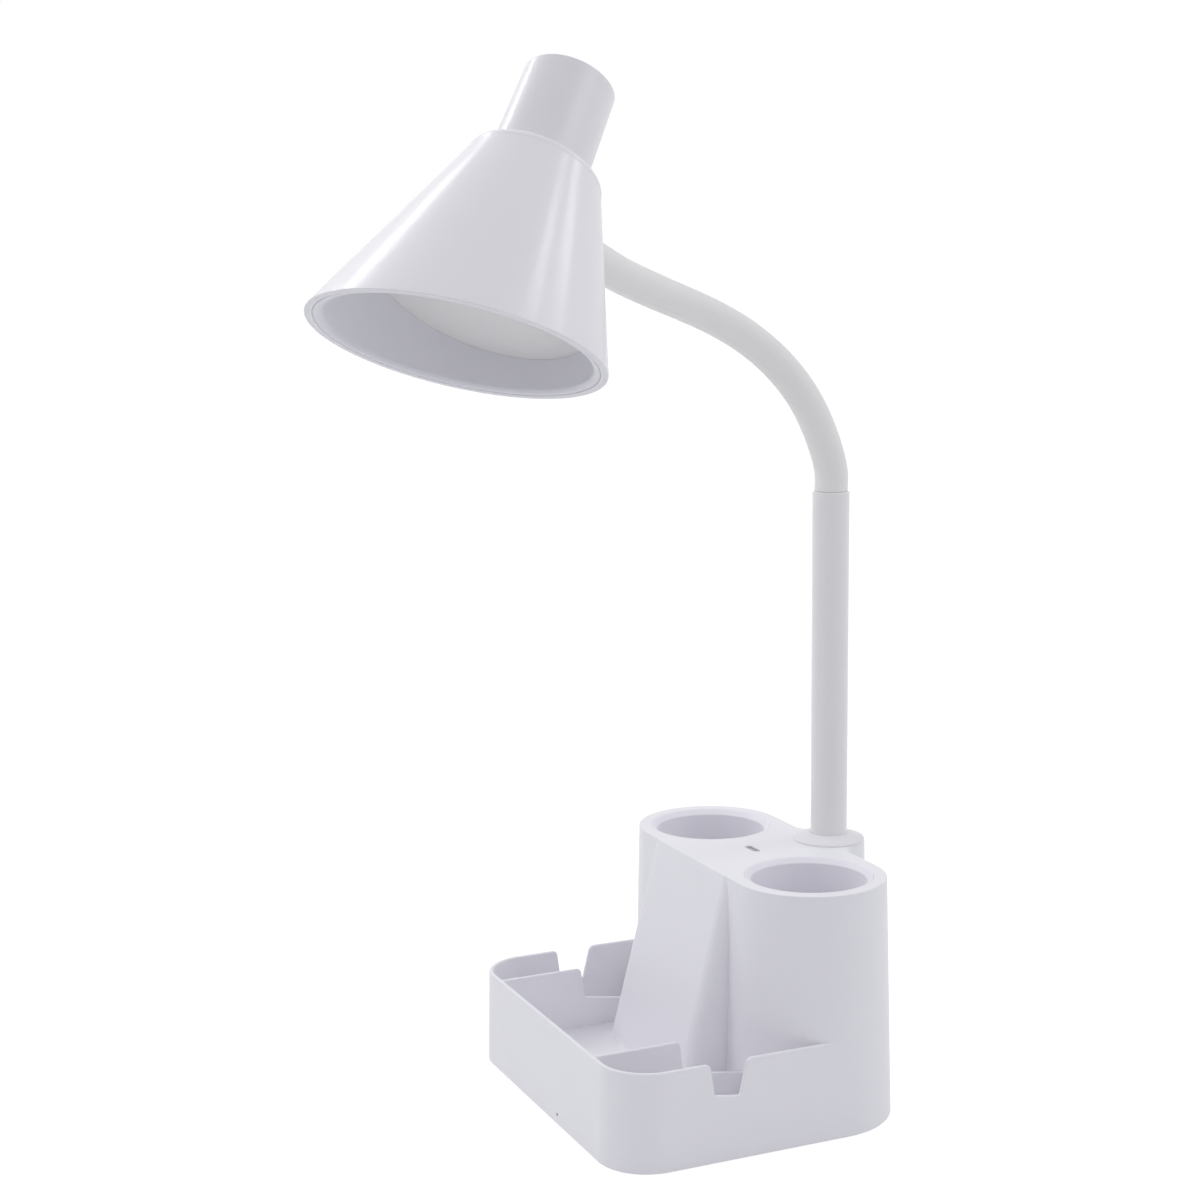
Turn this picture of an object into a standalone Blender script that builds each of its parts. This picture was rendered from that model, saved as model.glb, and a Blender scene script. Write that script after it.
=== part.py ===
"""LED desk lamp with a desk-organiser base, a gooseneck and a cone shade.

Metres, +Z up. The origin is on the desk, midway between the two pen cups.
The cups stand left and right (X), the phone tray is in front (-Y) and the
pole stands behind them (+Y).
"""
import math

import bmesh
import bpy
from mathutils import Euler, Matrix, Vector

MM = 0.001

# Base housing, sizes at its bottom edge
foot_height = 1.2 * MM
base_height = 112.1 * MM
draft = math.radians(1.4)
cup_x = 49.73 * MM
tower_radius = 38.34 * MM
pole_y = 39.1 * MM
lobe_radius = 20.04 * MM
lobe_fillet = 8.0 * MM
tray_front = 113.6 * MM
tray_corner = 23.7 * MM
rim_height = 45.2 * MM
tray_floor = 15.3 * MM
floor_thick = 2.0 * MM
tray_wall = 2.2 * MM
skirt_wall = 2.1 * MM
tower_wall = 2.6 * MM
plate_thick = 3.0 * MM
cavity_start = 5.0 * MM

# Phone rest, a wedge in front of the cups
wedge_top_y = -36.0 * MM
wedge_foot_y = -61.2 * MM
wedge_top_half = 39.4 * MM
wedge_foot_half = 41.2 * MM
wedge_back_y = -20.0 * MM
wedge_edge = 5.5 * MM
wedge_wall = 2.7 * MM
wedge_roof = 3.4 * MM

# Low walls beside the phone rest, and the slot for a tablet across them
inner_wall_x = 54.6 * MM
inner_wall_thick = 2.0 * MM
inner_wall_front = 111.4 * MM
inner_wall_back = 36.0 * MM
slot_front_top_y = -69.3 * MM
slot_front_y = -67.3 * MM
slot_front_z = 30.7 * MM
slot_rear_y = -55.0 * MM
slot_rear_top_y = -51.0 * MM
slot_lean = math.radians(8.6)
slot_front_round = 2.5 * MM
slot_rear_round = 3.0 * MM
slot_inner_round = 1.0 * MM
ledge_drop = 0.45 * MM

# Pen cup liners
cup_bore = 26.6 * MM
cup_bottom_bore = 25.6 * MM
cup_lip = 2.4 * MM
liner_wall = 1.6 * MM
liner_flange = 29.3 * MM
liner_flange_thick = 1.0 * MM
liner_floor = 18.0 * MM
liner_floor_thick = 1.8 * MM

# Charging socket in the top plate
socket_x = 0.4 * MM
socket_y = -2.9 * MM
slot_length = 11.0 * MM
slot_width = 3.9 * MM
socket_length = 8.9 * MM
socket_width = 3.3 * MM
socket_shell = 0.3 * MM
socket_depth = 7.0 * MM
socket_sunk = 0.5 * MM
tongue_length = 6.4 * MM
tongue_thick = 0.7 * MM
tongue_sunk = 1.2 * MM
socket_board_size = (26.0 * MM, 15.0 * MM, 1.6 * MM)
socket_post_x = 10.0 * MM
socket_post_radius = 2.2 * MM

# Collar, pole and the nut below the top plate
collar_radius = 17.2 * MM
collar_edge = 1.2 * MM
collar_rise = 3.4 * MM
collar_round = 0.5 * MM
pole_radius = 8.78 * MM
pole_bore = 7.3 * MM
pole_top = 281.7 * MM
pole_chamfer = 0.6 * MM
pole_below = 15.0 * MM
washer_radius = 13.6 * MM
washer_thick = 1.5 * MM
nut_radius = 13.0 * MM
nut_height = 6.0 * MM
lead_radius = 1.8 * MM
lead_bottom = 40.0 * MM
lead_sway = 1.0 * MM

# Gooseneck: a chain of short sleeves with ball-shaped ends round steel cores
neck_radius = 7.9 * MM
neck_bore = 4.5 * MM
core_radius = 4.2 * MM
core_bore = 2.5 * MM
plug_length = 20.0 * MM
ball_radius = 9.5 * MM
neck_first = 9.2 * MM
neck_pitch = 19.95 * MM
neck_last = 23.2 * MM
flare_radius = 9.4 * MM
flare_length = 13.0 * MM
flare_steps = 4
link_leans = (17.8, 28.8, 41.3, 52.5, 62.1, 68.9, 71.4, 70.9, 66.6)
link_swings = (0.0, 0.0, 0.8, 3.2, 6.8, 11.0, 15.3, 19.2, 21.7)
thread_past_wall = 9.0 * MM
head_nut_radius = 7.6 * MM
head_nut_height = 3.5 * MM
head_nut_stand = 1.2 * MM

# Shade, an oblique cone: its rim tips against its axis
head_tilt = math.radians(35.6)
head_yaw = math.radians(33.2)
rim_radius = 61.48 * MM
rim_shift = 5.78 * MM
rim_tip = math.radians(12.93)
shade_top_radius = 27.93 * MM
shade_length = 90.38 * MM
shade_round = 4.2 * MM
rim_band = 3.05 * MM
shade_wall = 2.4 * MM
shade_roof = 2.6 * MM
neck_share = 0.84
spigot_radius = 18.2 * MM
spigot_bore = 16.2 * MM
spigot_height = 4.0 * MM
lip_width = 2.8 * MM
lining_wall = 1.2 * MM
lip_depth_share = 0.035
diffuser_height = 27.6 * MM
diffuser_thick = 2.5 * MM
sink_below_neck = 10.9 * MM
reflector_wall = 1.2 * MM
reflector_edge = 1.4 * MM
reflector_top_radius = 29.0 * MM
board_radius = 31.0 * MM
board_thick = 1.6 * MM
led_size = 3.0 * MM
led_height = 0.8 * MM
led_circles = ((9.0 * MM, 5), (22.0 * MM, 13))
sink_thick = 3.0 * MM
sink_fin_height = 6.0 * MM
sink_fin_thick = 1.2 * MM
sink_fin_length = 40.0 * MM
sink_fin_step = 7.0 * MM
sink_fins = 5
sink_fin_shift = 6.0 * MM

# Cap on the shade
cap_low_radius = 21.07 * MM
cap_top_radius = 19.9 * MM
cap_length = 44.55 * MM
cap_wall = 2.0 * MM
cap_chamfer = 0.4 * MM

# Underside
cover_thick = 2.0 * MM
cover_sunk = 0.6 * MM
foot_radius = 7.0 * MM
middle_foot_radius = 10.0 * MM
foot_places = ((-70.0 * MM, -88.0 * MM), (70.0 * MM, -88.0 * MM), (-62.0 * MM, 14.0 * MM),
               (62.0 * MM, 14.0 * MM))
screw_places = ((-71.0 * MM, -68.0 * MM), (71.0 * MM, -68.0 * MM), (-24.0 * MM, -96.0 * MM),
                (50.0 * MM, -96.0 * MM), (-15.0 * MM, 15.0 * MM), (15.0 * MM, 15.0 * MM))
tall_screws = 2
boss_radius = 4.0 * MM
screw_radius = 1.5 * MM
screw_length = 9.0 * MM
screw_head = 2.8 * MM
screw_head_height = 1.0 * MM
pilot_depth = 10.0 * MM
ballast_size = (124.0 * MM, 66.0 * MM, 6.0 * MM)
ballast_y = -25.0 * MM
board_size = (62.0 * MM, 26.0 * MM, 1.6 * MM)
board_place = (13.0 * MM, -76.0 * MM)
board_z = 7.0 * MM
board_post_edge = 5.0 * MM
board_post_radius = 2.5 * MM
board_screw_radius = 1.0 * MM
board_screw_head = 2.0 * MM
board_screw_head_height = 1.2 * MM
board_screw_length = 4.0 * MM
pad_size = (26.0 * MM, 0.8 * MM, 7.0 * MM)
pad_back = 2.9 * MM
lens_x = 18.7 * MM
lens_z = 4.8 * MM
lens_radius = 0.5 * MM
lens_length = 3.4 * MM
lens_sunk = 0.15 * MM

# Power inlet in the rear wall
inlet_x = -32.0 * MM
inlet_z = 14.0 * MM
inlet_radius = 4.4 * MM
inlet_bore = 2.9 * MM
inlet_depth = 9.0 * MM
inlet_body = (10.0 * MM, 5.0 * MM, 10.0 * MM)
inlet_out = 0.4 * MM
pin_radius = 1.0 * MM
pin_short = 1.5 * MM

# Fits
gap = 0.3 * MM
over = 1.0 * MM
bite = 1.0 * MM

# Flat faces round a turned piece, by how large it is
steps = {"large": 40, "middle": 28, "small": 16, "tiny": 12, "shade": 48}


def clear_scene():
    for obj in list(bpy.data.objects):
        bpy.data.objects.remove(obj, do_unlink=True)


def new_collection(name):
    collection = bpy.data.collections.new(name)
    bpy.context.scene.collection.children.link(collection)
    return collection


def material(name, colour, roughness, metallic=0.0, transmission=0.0):
    mat = bpy.data.materials.new(name)
    mat.use_nodes = True
    shader = mat.node_tree.nodes["Principled BSDF"]
    shader.inputs["Base Color"].default_value = (*colour, 1.0)
    shader.inputs["Roughness"].default_value = roughness
    shader.inputs["Metallic"].default_value = metallic
    shader.inputs["Transmission Weight"].default_value = transmission
    mat.diffuse_color = (*colour, 1.0)
    return mat


clear_scene()
lamp = new_collection("desk_lamp")
cutters = new_collection("desk_lamp_cutters")

mats = {
    "housing": material("housing_plastic", (0.66, 0.65, 0.72), 0.42),
    "liner": material("liner_plastic", (0.64, 0.63, 0.70), 0.45),
    "shade": material("shade_gloss", (0.45, 0.44, 0.55), 0.22),
    "lining": material("shade_lining_plastic", (0.40, 0.40, 0.48), 0.40),
    "pole": material("pole_paint", (0.62, 0.63, 0.66), 0.38),
    "sleeve": material("sleeve_rubber", (0.60, 0.62, 0.66), 0.60),
    "steel": material("steel", (0.55, 0.56, 0.58), 0.35, 1.0),
    "brass": material("nut_steel", (0.60, 0.60, 0.60), 0.30, 1.0),
    "aluminium": material("aluminium", (0.75, 0.76, 0.78), 0.35, 1.0),
    "diffuser": material("diffuser_plastic", (0.72, 0.71, 0.68), 0.50, 0.0, 0.2),
    "reflector": material("reflector_white", (0.85, 0.85, 0.85), 0.35),
    "board": material("circuit_board", (0.05, 0.22, 0.12), 0.50),
    "white_board": material("led_board_white", (0.80, 0.80, 0.78), 0.50),
    "rubber": material("foot_rubber", (0.10, 0.10, 0.11), 0.80),
    "black": material("inlet_plastic", (0.03, 0.03, 0.03), 0.50),
    "lens": material("lens_plastic", (0.08, 0.08, 0.10), 0.20),
    "cable": material("cable_jacket", (0.12, 0.12, 0.13), 0.60),
    "copper": material("electrode_copper", (0.72, 0.42, 0.26), 0.35, 1.0),
}

base = bpy.data.objects.new("base_frame", None)
lamp.objects.link(base)
base.location = (0.0, 0.0, foot_height)


def add_object(name, mesh, mat=None, parent=base):
    obj = bpy.data.objects.new(name, mesh)
    if mat is None:
        cutters.objects.link(obj)
        obj.hide_render = True
        obj.display_type = "WIRE"
    else:
        lamp.objects.link(obj)
        mesh.materials.append(mats[mat])
    obj.parent = parent
    return obj


def from_bmesh(name, bm, mat=None, parent=base):
    bmesh.ops.recalc_face_normals(bm, faces=bm.faces[:])
    mesh = bpy.data.meshes.new(name)
    bm.to_mesh(mesh)
    bm.free()
    return add_object(name, mesh, mat, parent)


def bake(obj, angle=math.radians(35.0)):
    """Turns modifiers into plain geometry and shades the piece smooth."""
    depsgraph = bpy.context.evaluated_depsgraph_get()
    mesh = bpy.data.meshes.new_from_object(obj.evaluated_get(depsgraph))
    obj.modifiers.clear()
    obj.data = mesh
    smooth(obj, angle)
    return obj


def smooth(obj, angle=math.radians(35.0)):
    obj.data.shade_smooth()
    obj.data.set_sharp_from_angle(angle=angle)


def turned(name, profile, sides, mat=None, parent=base, closed=False):
    """Turns (radius, height) points round Z. The profile runs down the outer side."""
    bm = bmesh.new()
    verts = [bm.verts.new((radius, 0.0, height)) for radius, height in profile]
    for first, second in zip(verts, verts[1:]):
        bm.edges.new((first, second))
    if closed:
        bm.edges.new((verts[-1], verts[0]))
    mesh = bpy.data.meshes.new(name)
    bm.to_mesh(mesh)
    bm.free()
    obj = add_object(name, mesh, mat, parent)
    screw = obj.modifiers.new("turn", "SCREW")
    screw.axis = "Z"
    screw.steps = round(sides)
    screw.render_steps = round(sides)
    screw.use_merge_vertices = True
    screw.merge_threshold = 0.00001
    return bake(obj)


def rod(name, radius, low, high, sides, mat=None, parent=base):
    return turned(name, [(0.0, high), (radius, high), (radius, low), (0.0, low)], sides, mat, parent)


def tube(name, radius, bore, low, high, sides, mat=None, parent=base):
    profile = [(bore, high), (radius, high), (radius, low), (bore, low)]
    return turned(name, profile, sides, mat, parent, closed=True)


def block(name, size, centre, mat=None, parent=base):
    bm = bmesh.new()
    bmesh.ops.create_cube(bm, size=1.0)
    bmesh.ops.scale(bm, vec=size, verts=bm.verts[:])
    bmesh.ops.translate(bm, vec=centre, verts=bm.verts[:])
    return from_bmesh(name, bm, mat, parent)


def boolean(obj, other, operation="DIFFERENCE"):
    mod = obj.modifiers.new(other.name, "BOOLEAN")
    mod.operation = operation
    mod.solver = "EXACT"
    mod.object = other


def add_ring(bm, points):
    return [bm.verts.new(point) for point in points]


def bridge(bm, low, high):
    for i, vert in enumerate(low):
        j = (i + 1) % len(low)
        bm.faces.new((vert, low[j], high[j], high[i]))


def loft(name, rings, mat=None, parent=base, closed=False):
    """Skins a solid through rings of points; closed joins the last ring to the first."""
    bm = bmesh.new()
    made = [add_ring(bm, points) for points in rings]
    for low, high in zip(made, made[1:]):
        bridge(bm, low, high)
    if closed:
        bridge(bm, made[-1], made[0])
    else:
        bm.faces.new(made[0])
        bm.faces.new(made[-1])
    return from_bmesh(name, bm, mat, parent)


def arc(centre, radius, start, end, count):
    points = []
    for i in range(count + 1):
        angle = start + (end - start) * i / count
        points.append((centre[0] + radius * math.cos(angle), centre[1] + radius * math.sin(angle)))
    return points


def rounded(before, corner, after, radius, count=4):
    """Points of the arc that rounds a corner between two straight lines."""
    corner = Vector(corner)
    back = (Vector(before) - corner).normalized()
    ahead = (Vector(after) - corner).normalized()
    half = back.angle(ahead) / 2
    centre = corner + (back + ahead).normalized() * radius / math.sin(half)
    first = corner + back * radius / math.tan(half) - centre
    last = corner + ahead * radius / math.tan(half) - centre
    points = []
    for i in range(count + 1):
        points.append(tuple(centre + first.slerp(last, i / count).normalized() * radius))
    return points


def side_profile(name, outline, low_x, high_x, mat=None):
    """A flat (y, z) outline made thick along X."""
    bm = bmesh.new()
    low = add_ring(bm, [(low_x, y, z) for y, z in outline])
    high = add_ring(bm, [(high_x, y, z) for y, z in outline])
    bm.faces.new(low)
    bm.faces.new(high)
    bridge(bm, low, high)
    return from_bmesh(name, bm, mat)


# Plan outlines of the base

right = math.pi / 2
wall_angle = math.acos(1.0 - tray_wall / tower_radius)
cup_steps = 12
corner_steps = 7
lobe_steps = 14


def shrink(height):
    return height * math.tan(draft)


# The main board hangs from two posts near its rear corners
board_post_x = board_size[0] / 2 - board_post_edge
board_post_y = board_place[1] + board_size[1] / 2 - board_post_edge
board_posts = [(board_place[0] + side * board_post_x, board_post_y) for side in (-1.0, 1.0)]


def rear_outline(inset):
    """From the right tower's outermost point round the back to the left one's."""
    radius = tower_radius - inset
    fillet = lobe_fillet + inset
    fillet_y = tower_radius + lobe_fillet
    reach = lobe_radius + lobe_fillet
    fillet_x = math.sqrt(reach ** 2 - (fillet_y - pole_y) ** 2)
    toward = math.atan2(fillet_y - pole_y, fillet_x)
    points = arc((cup_x, 0.0), radius, 0.0, right, cup_steps)
    points += arc((fillet_x, fillet_y), fillet, -right, toward - math.pi, 3)
    lobe = arc((0.0, pole_y), lobe_radius - inset, toward, math.pi - toward, lobe_steps)
    points += lobe[1:-1]
    points += arc((-fillet_x, fillet_y), fillet, -toward, -right, 3)
    points += arc((-cup_x, 0.0), radius, right, math.pi, cup_steps)
    return points


def front_outline(inset):
    """From the left tower's outermost point along the front to the right one's."""
    radius = tower_radius - inset
    near = 3
    points = arc((-cup_x, 0.0), radius, math.pi, math.pi + wall_angle, near)[1:]
    points += arc((-cup_x, 0.0), radius, math.pi + wall_angle, 3 * right, cup_steps - near)[1:]
    points += arc((cup_x, 0.0), radius, 3 * right, 4 * right - wall_angle, cup_steps - near)
    points += arc((cup_x, 0.0), radius, 4 * right - wall_angle, 4 * right, near)[1:-1]
    return points


def tray_outline(inset):
    """From the left side round the front corners to the right side."""
    centre_x = cup_x + tower_radius - tray_corner
    centre_y = tray_corner - tray_front
    radius = tray_corner - inset
    points = arc((-centre_x, centre_y), radius, math.pi, 3 * right, corner_steps)
    points += arc((centre_x, centre_y), radius, 3 * right, 4 * right, corner_steps)
    return points


def level(points, height):
    return [(x, y, height) for x, y in points]


def base_block():
    """Tray and towers in one skin: the sides lean in with the draft."""
    bm = bmesh.new()
    at_rim = shrink(rim_height)
    low = add_ring(bm, level(rear_outline(0.0) + tray_outline(0.0), 0.0))
    rear = add_ring(bm, level(rear_outline(at_rim), rim_height))
    tray = add_ring(bm, level(tray_outline(at_rim), rim_height))
    front = add_ring(bm, level(front_outline(at_rim), rim_height))
    bm.faces.new(low)
    bridge(bm, low, rear + tray)
    top_inset = shrink(base_height)
    top = add_ring(bm, level(rear_outline(top_inset) + front_outline(top_inset), base_height))
    bridge(bm, rear + front, top)
    bm.faces.new(top)
    inner_inset = at_rim + (tower_radius - at_rim) * (1.0 - math.cos(wall_angle))
    inner = add_ring(bm, level(tray_outline(inner_inset), rim_height))
    first = 2
    shared = front[first:len(front) - first]
    rim = [rear[-1], *tray, rear[0], *reversed(front[len(front) - first:])]
    rim += [shared[-1], *reversed(inner), shared[0], *reversed(front[:first])]
    bm.faces.new(rim)
    at_floor = shrink(tray_floor)
    floor_inset = at_floor + (tower_radius - at_floor) * (1.0 - math.cos(wall_angle))
    floor_front = front_outline(at_floor)
    floor_points = tray_outline(floor_inset) + floor_front[first:len(floor_front) - first][::-1]
    floor = add_ring(bm, level(floor_points, tray_floor))
    bridge(bm, inner + shared[::-1], floor)
    bm.faces.new(floor)
    return from_bmesh("base_housing", bm, "housing")


def wedge(name, front, half_in, top, bottom, mat=None, edge=wedge_edge):
    """The leaning phone rest; front and half_in draw its faces inward for the hollow."""
    slope = (wedge_top_y - wedge_foot_y) / (base_height - tray_floor)
    flare = (wedge_foot_half - wedge_top_half) / (base_height - tray_floor)
    bm = bmesh.new()
    bmesh.ops.create_cube(bm, size=1.0)
    for vert in bm.verts:
        height = top if vert.co.z > 0.0 else bottom
        fall = base_height - height
        half = wedge_top_half + fall * flare - half_in
        x = half if vert.co.x > 0.0 else -half
        y = wedge_back_y if vert.co.y > 0.0 else wedge_top_y - fall * slope + front
        vert.co = (x, y, height)
    bm.normal_update()
    slanted = [e for e in bm.edges if all(v.co.y < wedge_back_y for v in e.verts)
               and abs(e.verts[0].co.z - e.verts[1].co.z) > rim_height]
    bmesh.ops.bevel(bm, geom=slanted, offset=edge, segments=4, profile=0.5, affect="EDGES")
    return from_bmesh(name, bm, mat)


def slot_line(y, drop=0.0):
    return slot_front_z - drop - (y - slot_front_y) * math.tan(slot_lean)


def slot_cutter(name, low_x, high_x):
    top = rim_height + over
    front_top = (slot_front_top_y, rim_height)
    front_low = (slot_front_y, slot_line(slot_front_y))
    rear_low = (slot_rear_y, slot_line(slot_rear_y))
    rear_top = (slot_rear_top_y, rim_height)
    ahead = (slot_front_top_y - slot_front_round * 2, rim_height)
    behind = (slot_rear_top_y + slot_rear_round * 2, rim_height)
    start = rounded(ahead, front_top, front_low, slot_front_round)
    end = rounded(rear_low, rear_top, behind, slot_rear_round)
    outline = [(start[0][0], top), *start]
    outline += rounded(front_top, front_low, rear_low, slot_inner_round, 2)
    outline += rounded(front_low, rear_low, rear_top, slot_inner_round, 2)
    outline += [*end, (end[-1][0], top)]
    return side_profile(name, outline, low_x, high_x)


def inner_wall(name, side):
    bottom = tray_floor - bite
    front_top = (slot_front_top_y, rim_height)
    low = (slot_front_y, slot_line(slot_front_y, ledge_drop))
    back = (-inner_wall_back, slot_line(-inner_wall_back, ledge_drop))
    ahead = (-inner_wall_front, rim_height)
    outline = [(-inner_wall_front, bottom), ahead]
    outline += rounded(ahead, front_top, low, slot_front_round)
    outline += [low, back, (-inner_wall_back, bottom)]
    xs = sorted((side * inner_wall_x, side * (inner_wall_x + inner_wall_thick)))
    return side_profile(name, outline, xs[0], xs[1])


def stadium(length, width, count=6):
    radius = width / 2
    reach = (length - width) / 2
    points = arc((reach, 0.0), radius, -right, right, count)
    return points + arc((-reach, 0.0), radius, right, 3 * right, count)


def upright(name, outline, low, high, place=(0.0, 0.0), mat=None, parent=base):
    """A flat (x, y) outline made thick along Z."""
    moved = [(x + place[0], y + place[1]) for x, y in outline]
    return loft(name, [level(moved, low), level(moved, high)], mat, parent)


def put(obj, x, y, z=0.0):
    obj.location = (x, y, z)
    return obj


def make_housing():
    housing = base_block()
    embed = tray_floor - bite
    boolean(housing, wedge("wedge_body", 0.0, 0.0, base_height, embed), "UNION")
    boolean(housing, inner_wall("wall_right", 1.0), "UNION")
    boolean(housing, inner_wall("wall_left", -1.0), "UNION")
    low_roof = tray_floor - floor_thick
    skirt = rear_outline(skirt_wall) + tray_outline(skirt_wall)
    skirt_inset = skirt_wall + shrink(low_roof)
    skirt_top = rear_outline(skirt_inset) + tray_outline(skirt_inset)
    lower = loft("cut_lower", [level(skirt, -over), level(skirt_top, low_roof)])
    boolean(housing, lower)
    roof = base_height - plate_thick
    first = tower_wall + shrink(cavity_start)
    last = tower_wall + shrink(roof)
    tower_low = level(rear_outline(first) + front_outline(first), cavity_start)
    tower_high = level(rear_outline(last) + front_outline(last), roof)
    boolean(housing, loft("cut_tower", [tower_low, tower_high]))
    hollow_edge = wedge_edge - wedge_wall
    hollow = wedge("cut_wedge", wedge_wall, wedge_wall, base_height - wedge_roof,
                   low_roof - bite, edge=hollow_edge)
    boolean(housing, hollow)
    outer_x = cup_x + tower_radius
    boolean(housing, slot_cutter("cut_slot_right", outer_x - tray_wall * 3, outer_x + over))
    boolean(housing, slot_cutter("cut_slot_left", -outer_x - over, tray_wall * 3 - outer_x))
    for label, x in (("right", cup_x), ("left", -cup_x)):
        shelf = base_height - liner_flange_thick - gap
        hole = cup_bore + liner_wall + gap
        seat = liner_flange + gap
        low = roof - over
        top = base_height + over
        profile = [(0.0, top), (seat, top), (seat, shelf), (hole, shelf), (hole, low), (0.0, low)]
        boolean(housing, put(turned("cut_cup_" + label, profile, steps["large"]), x, 0.0))
    pole_hole = rod("cut_pole", pole_radius + gap, roof - over, base_height + over, steps["middle"])
    boolean(housing, put(pole_hole, 0.0, pole_y))
    boolean(housing, upright("cut_socket", stadium(slot_length, slot_width), roof - over,
                             base_height + over, (socket_x, socket_y)))
    lens_hole = rod("cut_lens", lens_radius + gap, -over, tray_wall + over * 2, steps["tiny"])
    lens_hole.location = (lens_x, -tray_front, lens_z)
    lens_hole.rotation_euler = (-right, 0.0, 0.0)
    boolean(housing, lens_hole)
    inlet_hole = rod("cut_inlet", inlet_radius + gap, -over, tower_wall * 2, steps["small"])
    inlet_hole.location = (inlet_x, tower_radius, inlet_z)
    inlet_hole.rotation_euler = (right, 0.0, 0.0)
    boolean(housing, inlet_hole)
    add_bosses(housing, low_roof, roof)
    return housing


def add_bosses(housing, low_roof, roof):
    low = cover_sunk + cover_thick + gap
    for i, (x, y) in enumerate(screw_places):
        tall = i >= len(screw_places) - tall_screws
        high = (roof if tall else low_roof) + bite
        profile = [(0.0, high), (boss_radius, high), (boss_radius, low)]
        hole = screw_radius + gap
        profile += [(hole, low), (hole, low + pilot_depth), (0.0, low + pilot_depth)]
        boss = turned("boss_%d" % i, profile, steps["tiny"])
        boolean(housing, put(boss, x, y), "UNION")
    board_top = board_z + board_size[2] + gap
    for i, (x, y) in enumerate(board_posts):
        hole = board_screw_radius + gap
        drilled = board_top + board_screw_length
        profile = [(0.0, low_roof + bite), (board_post_radius, low_roof + bite)]
        profile += [(board_post_radius, board_top), (hole, board_top), (hole, drilled), (0.0, drilled)]
        post = turned("board_post_%d" % i, profile, steps["tiny"])
        boolean(housing, put(post, x, y), "UNION")
    post_low = base_height - socket_sunk - socket_depth
    for i, sx in enumerate((-1.0, 1.0)):
        post = rod("socket_post_%d" % i, socket_post_radius, post_low, roof + bite, steps["tiny"])
        put(post, socket_x + sx * socket_post_x, socket_y)
        boolean(housing, post, "UNION")


def make_liner(name, x):
    top = base_height
    under = top - liner_flange_thick
    outer = cup_bore + liner_wall
    outer_low = cup_bottom_bore + liner_wall
    floor_top = liner_floor + liner_floor_thick
    profile = [(0.0, floor_top), (cup_bottom_bore - bite, floor_top)]
    profile += [(cup_bottom_bore, floor_top + bite)]
    lip = arc((cup_bore + cup_lip, top - cup_lip), cup_lip, math.pi, right, 3)
    profile += lip
    profile += [(liner_flange, top), (liner_flange, under), (outer, under)]
    profile += [(outer_low, liner_floor), (0.0, liner_floor)]
    return put(turned(name, profile, steps["large"], "liner"), x, 0.0)


def make_socket():
    low = base_height - socket_sunk - socket_depth
    high = base_height - socket_sunk
    place = (socket_x, socket_y)
    shell = upright("usb_c_socket", stadium(socket_length, socket_width), low, high, place, "steel")
    mouth = stadium(socket_length - socket_shell * 2, socket_width - socket_shell * 2)
    inside = upright("cut_mouth", mouth, low + over, high + over, place)
    boolean(shell, inside)
    tongue = block("socket_tongue", (tongue_length, tongue_thick, socket_depth - tongue_sunk),
                   (socket_x, socket_y, low + (socket_depth - tongue_sunk) / 2))
    boolean(shell, tongue, "UNION")
    board_mid = low - gap - socket_board_size[2] / 2
    block("usb_board", socket_board_size, (socket_x, socket_y, board_mid), "board")


def make_pole():
    top = base_height + gap
    hole = pole_radius + gap
    profile = [(hole, base_height + collar_rise)]
    profile += [(pole_radius + collar_edge, base_height + collar_rise)]
    dome_low = top + collar_edge
    profile += [(collar_radius - collar_round, dome_low), (collar_radius, dome_low - collar_round)]
    profile += [(collar_radius, top), (hole, top)]
    put(turned("collar", profile, steps["middle"], "pole", closed=True), 0.0, pole_y)
    low = base_height - plate_thick - pole_below
    profile = [(pole_bore, pole_top), (pole_radius - pole_chamfer, pole_top)]
    profile += [(pole_radius, pole_top - pole_chamfer), (pole_radius, low), (pole_bore, low)]
    put(turned("pole_tube", profile, steps["middle"], "pole", closed=True), 0.0, pole_y)
    under = base_height - plate_thick - gap
    washer = tube("pole_washer", washer_radius, hole, under - washer_thick, under, steps["middle"], "steel")
    put(washer, 0.0, pole_y)
    nut_top = under - washer_thick - gap
    hexagon = arc((0.0, 0.0), nut_radius, 0.0, 4 * right, 6)[:-1]
    nut = upright("pole_nut", hexagon, nut_top - nut_height, nut_top, (0.0, pole_y), "brass")
    bore = rod("cut_nut", hole, nut_top - nut_height - over, nut_top + over, steps["middle"])
    boolean(nut, put(bore, 0.0, pole_y))


def make_lead():
    """The wires up the pole, from the base to just under the neck's plug."""
    curve = bpy.data.curves.new("pole_lead", "CURVE")
    curve.dimensions = "3D"
    curve.bevel_depth = lead_radius
    curve.bevel_resolution = 2
    curve.use_fill_caps = True
    spline = curve.splines.new("POLY")
    count = 12
    spline.points.add(count)
    high = pole_top - plug_length - gap
    for i in range(count + 1):
        share = i / count
        sway = lead_sway * math.sin(3 * right * share)
        height = lead_bottom + (high - lead_bottom) * share
        spline.points[i].co = (sway, pole_y, height, 1.0)
    obj = bpy.data.objects.new("pole_lead", curve)
    lamp.objects.link(obj)
    obj.parent = base
    curve.materials.append(mats["cable"])


# Neck chain and head placing

def heading(lean, swing):
    return Vector((math.sin(lean) * math.sin(swing), -math.sin(lean) * math.cos(swing),
                   math.cos(lean)))


def rim_point(angle, inset):
    """A point on the rim in the head's frame: -Y is forward, +Z is the shade's axis."""
    forward = math.cos(angle) * (rim_radius - inset)
    side = math.sin(angle) * (rim_radius - inset)
    return Vector((side, -rim_shift - forward * math.cos(rim_tip), -forward * math.sin(rim_tip)))


def top_point(angle, inset):
    radius = shade_top_radius - inset
    return Vector((math.sin(angle) * radius, -math.cos(angle) * radius, shade_length))


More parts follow.
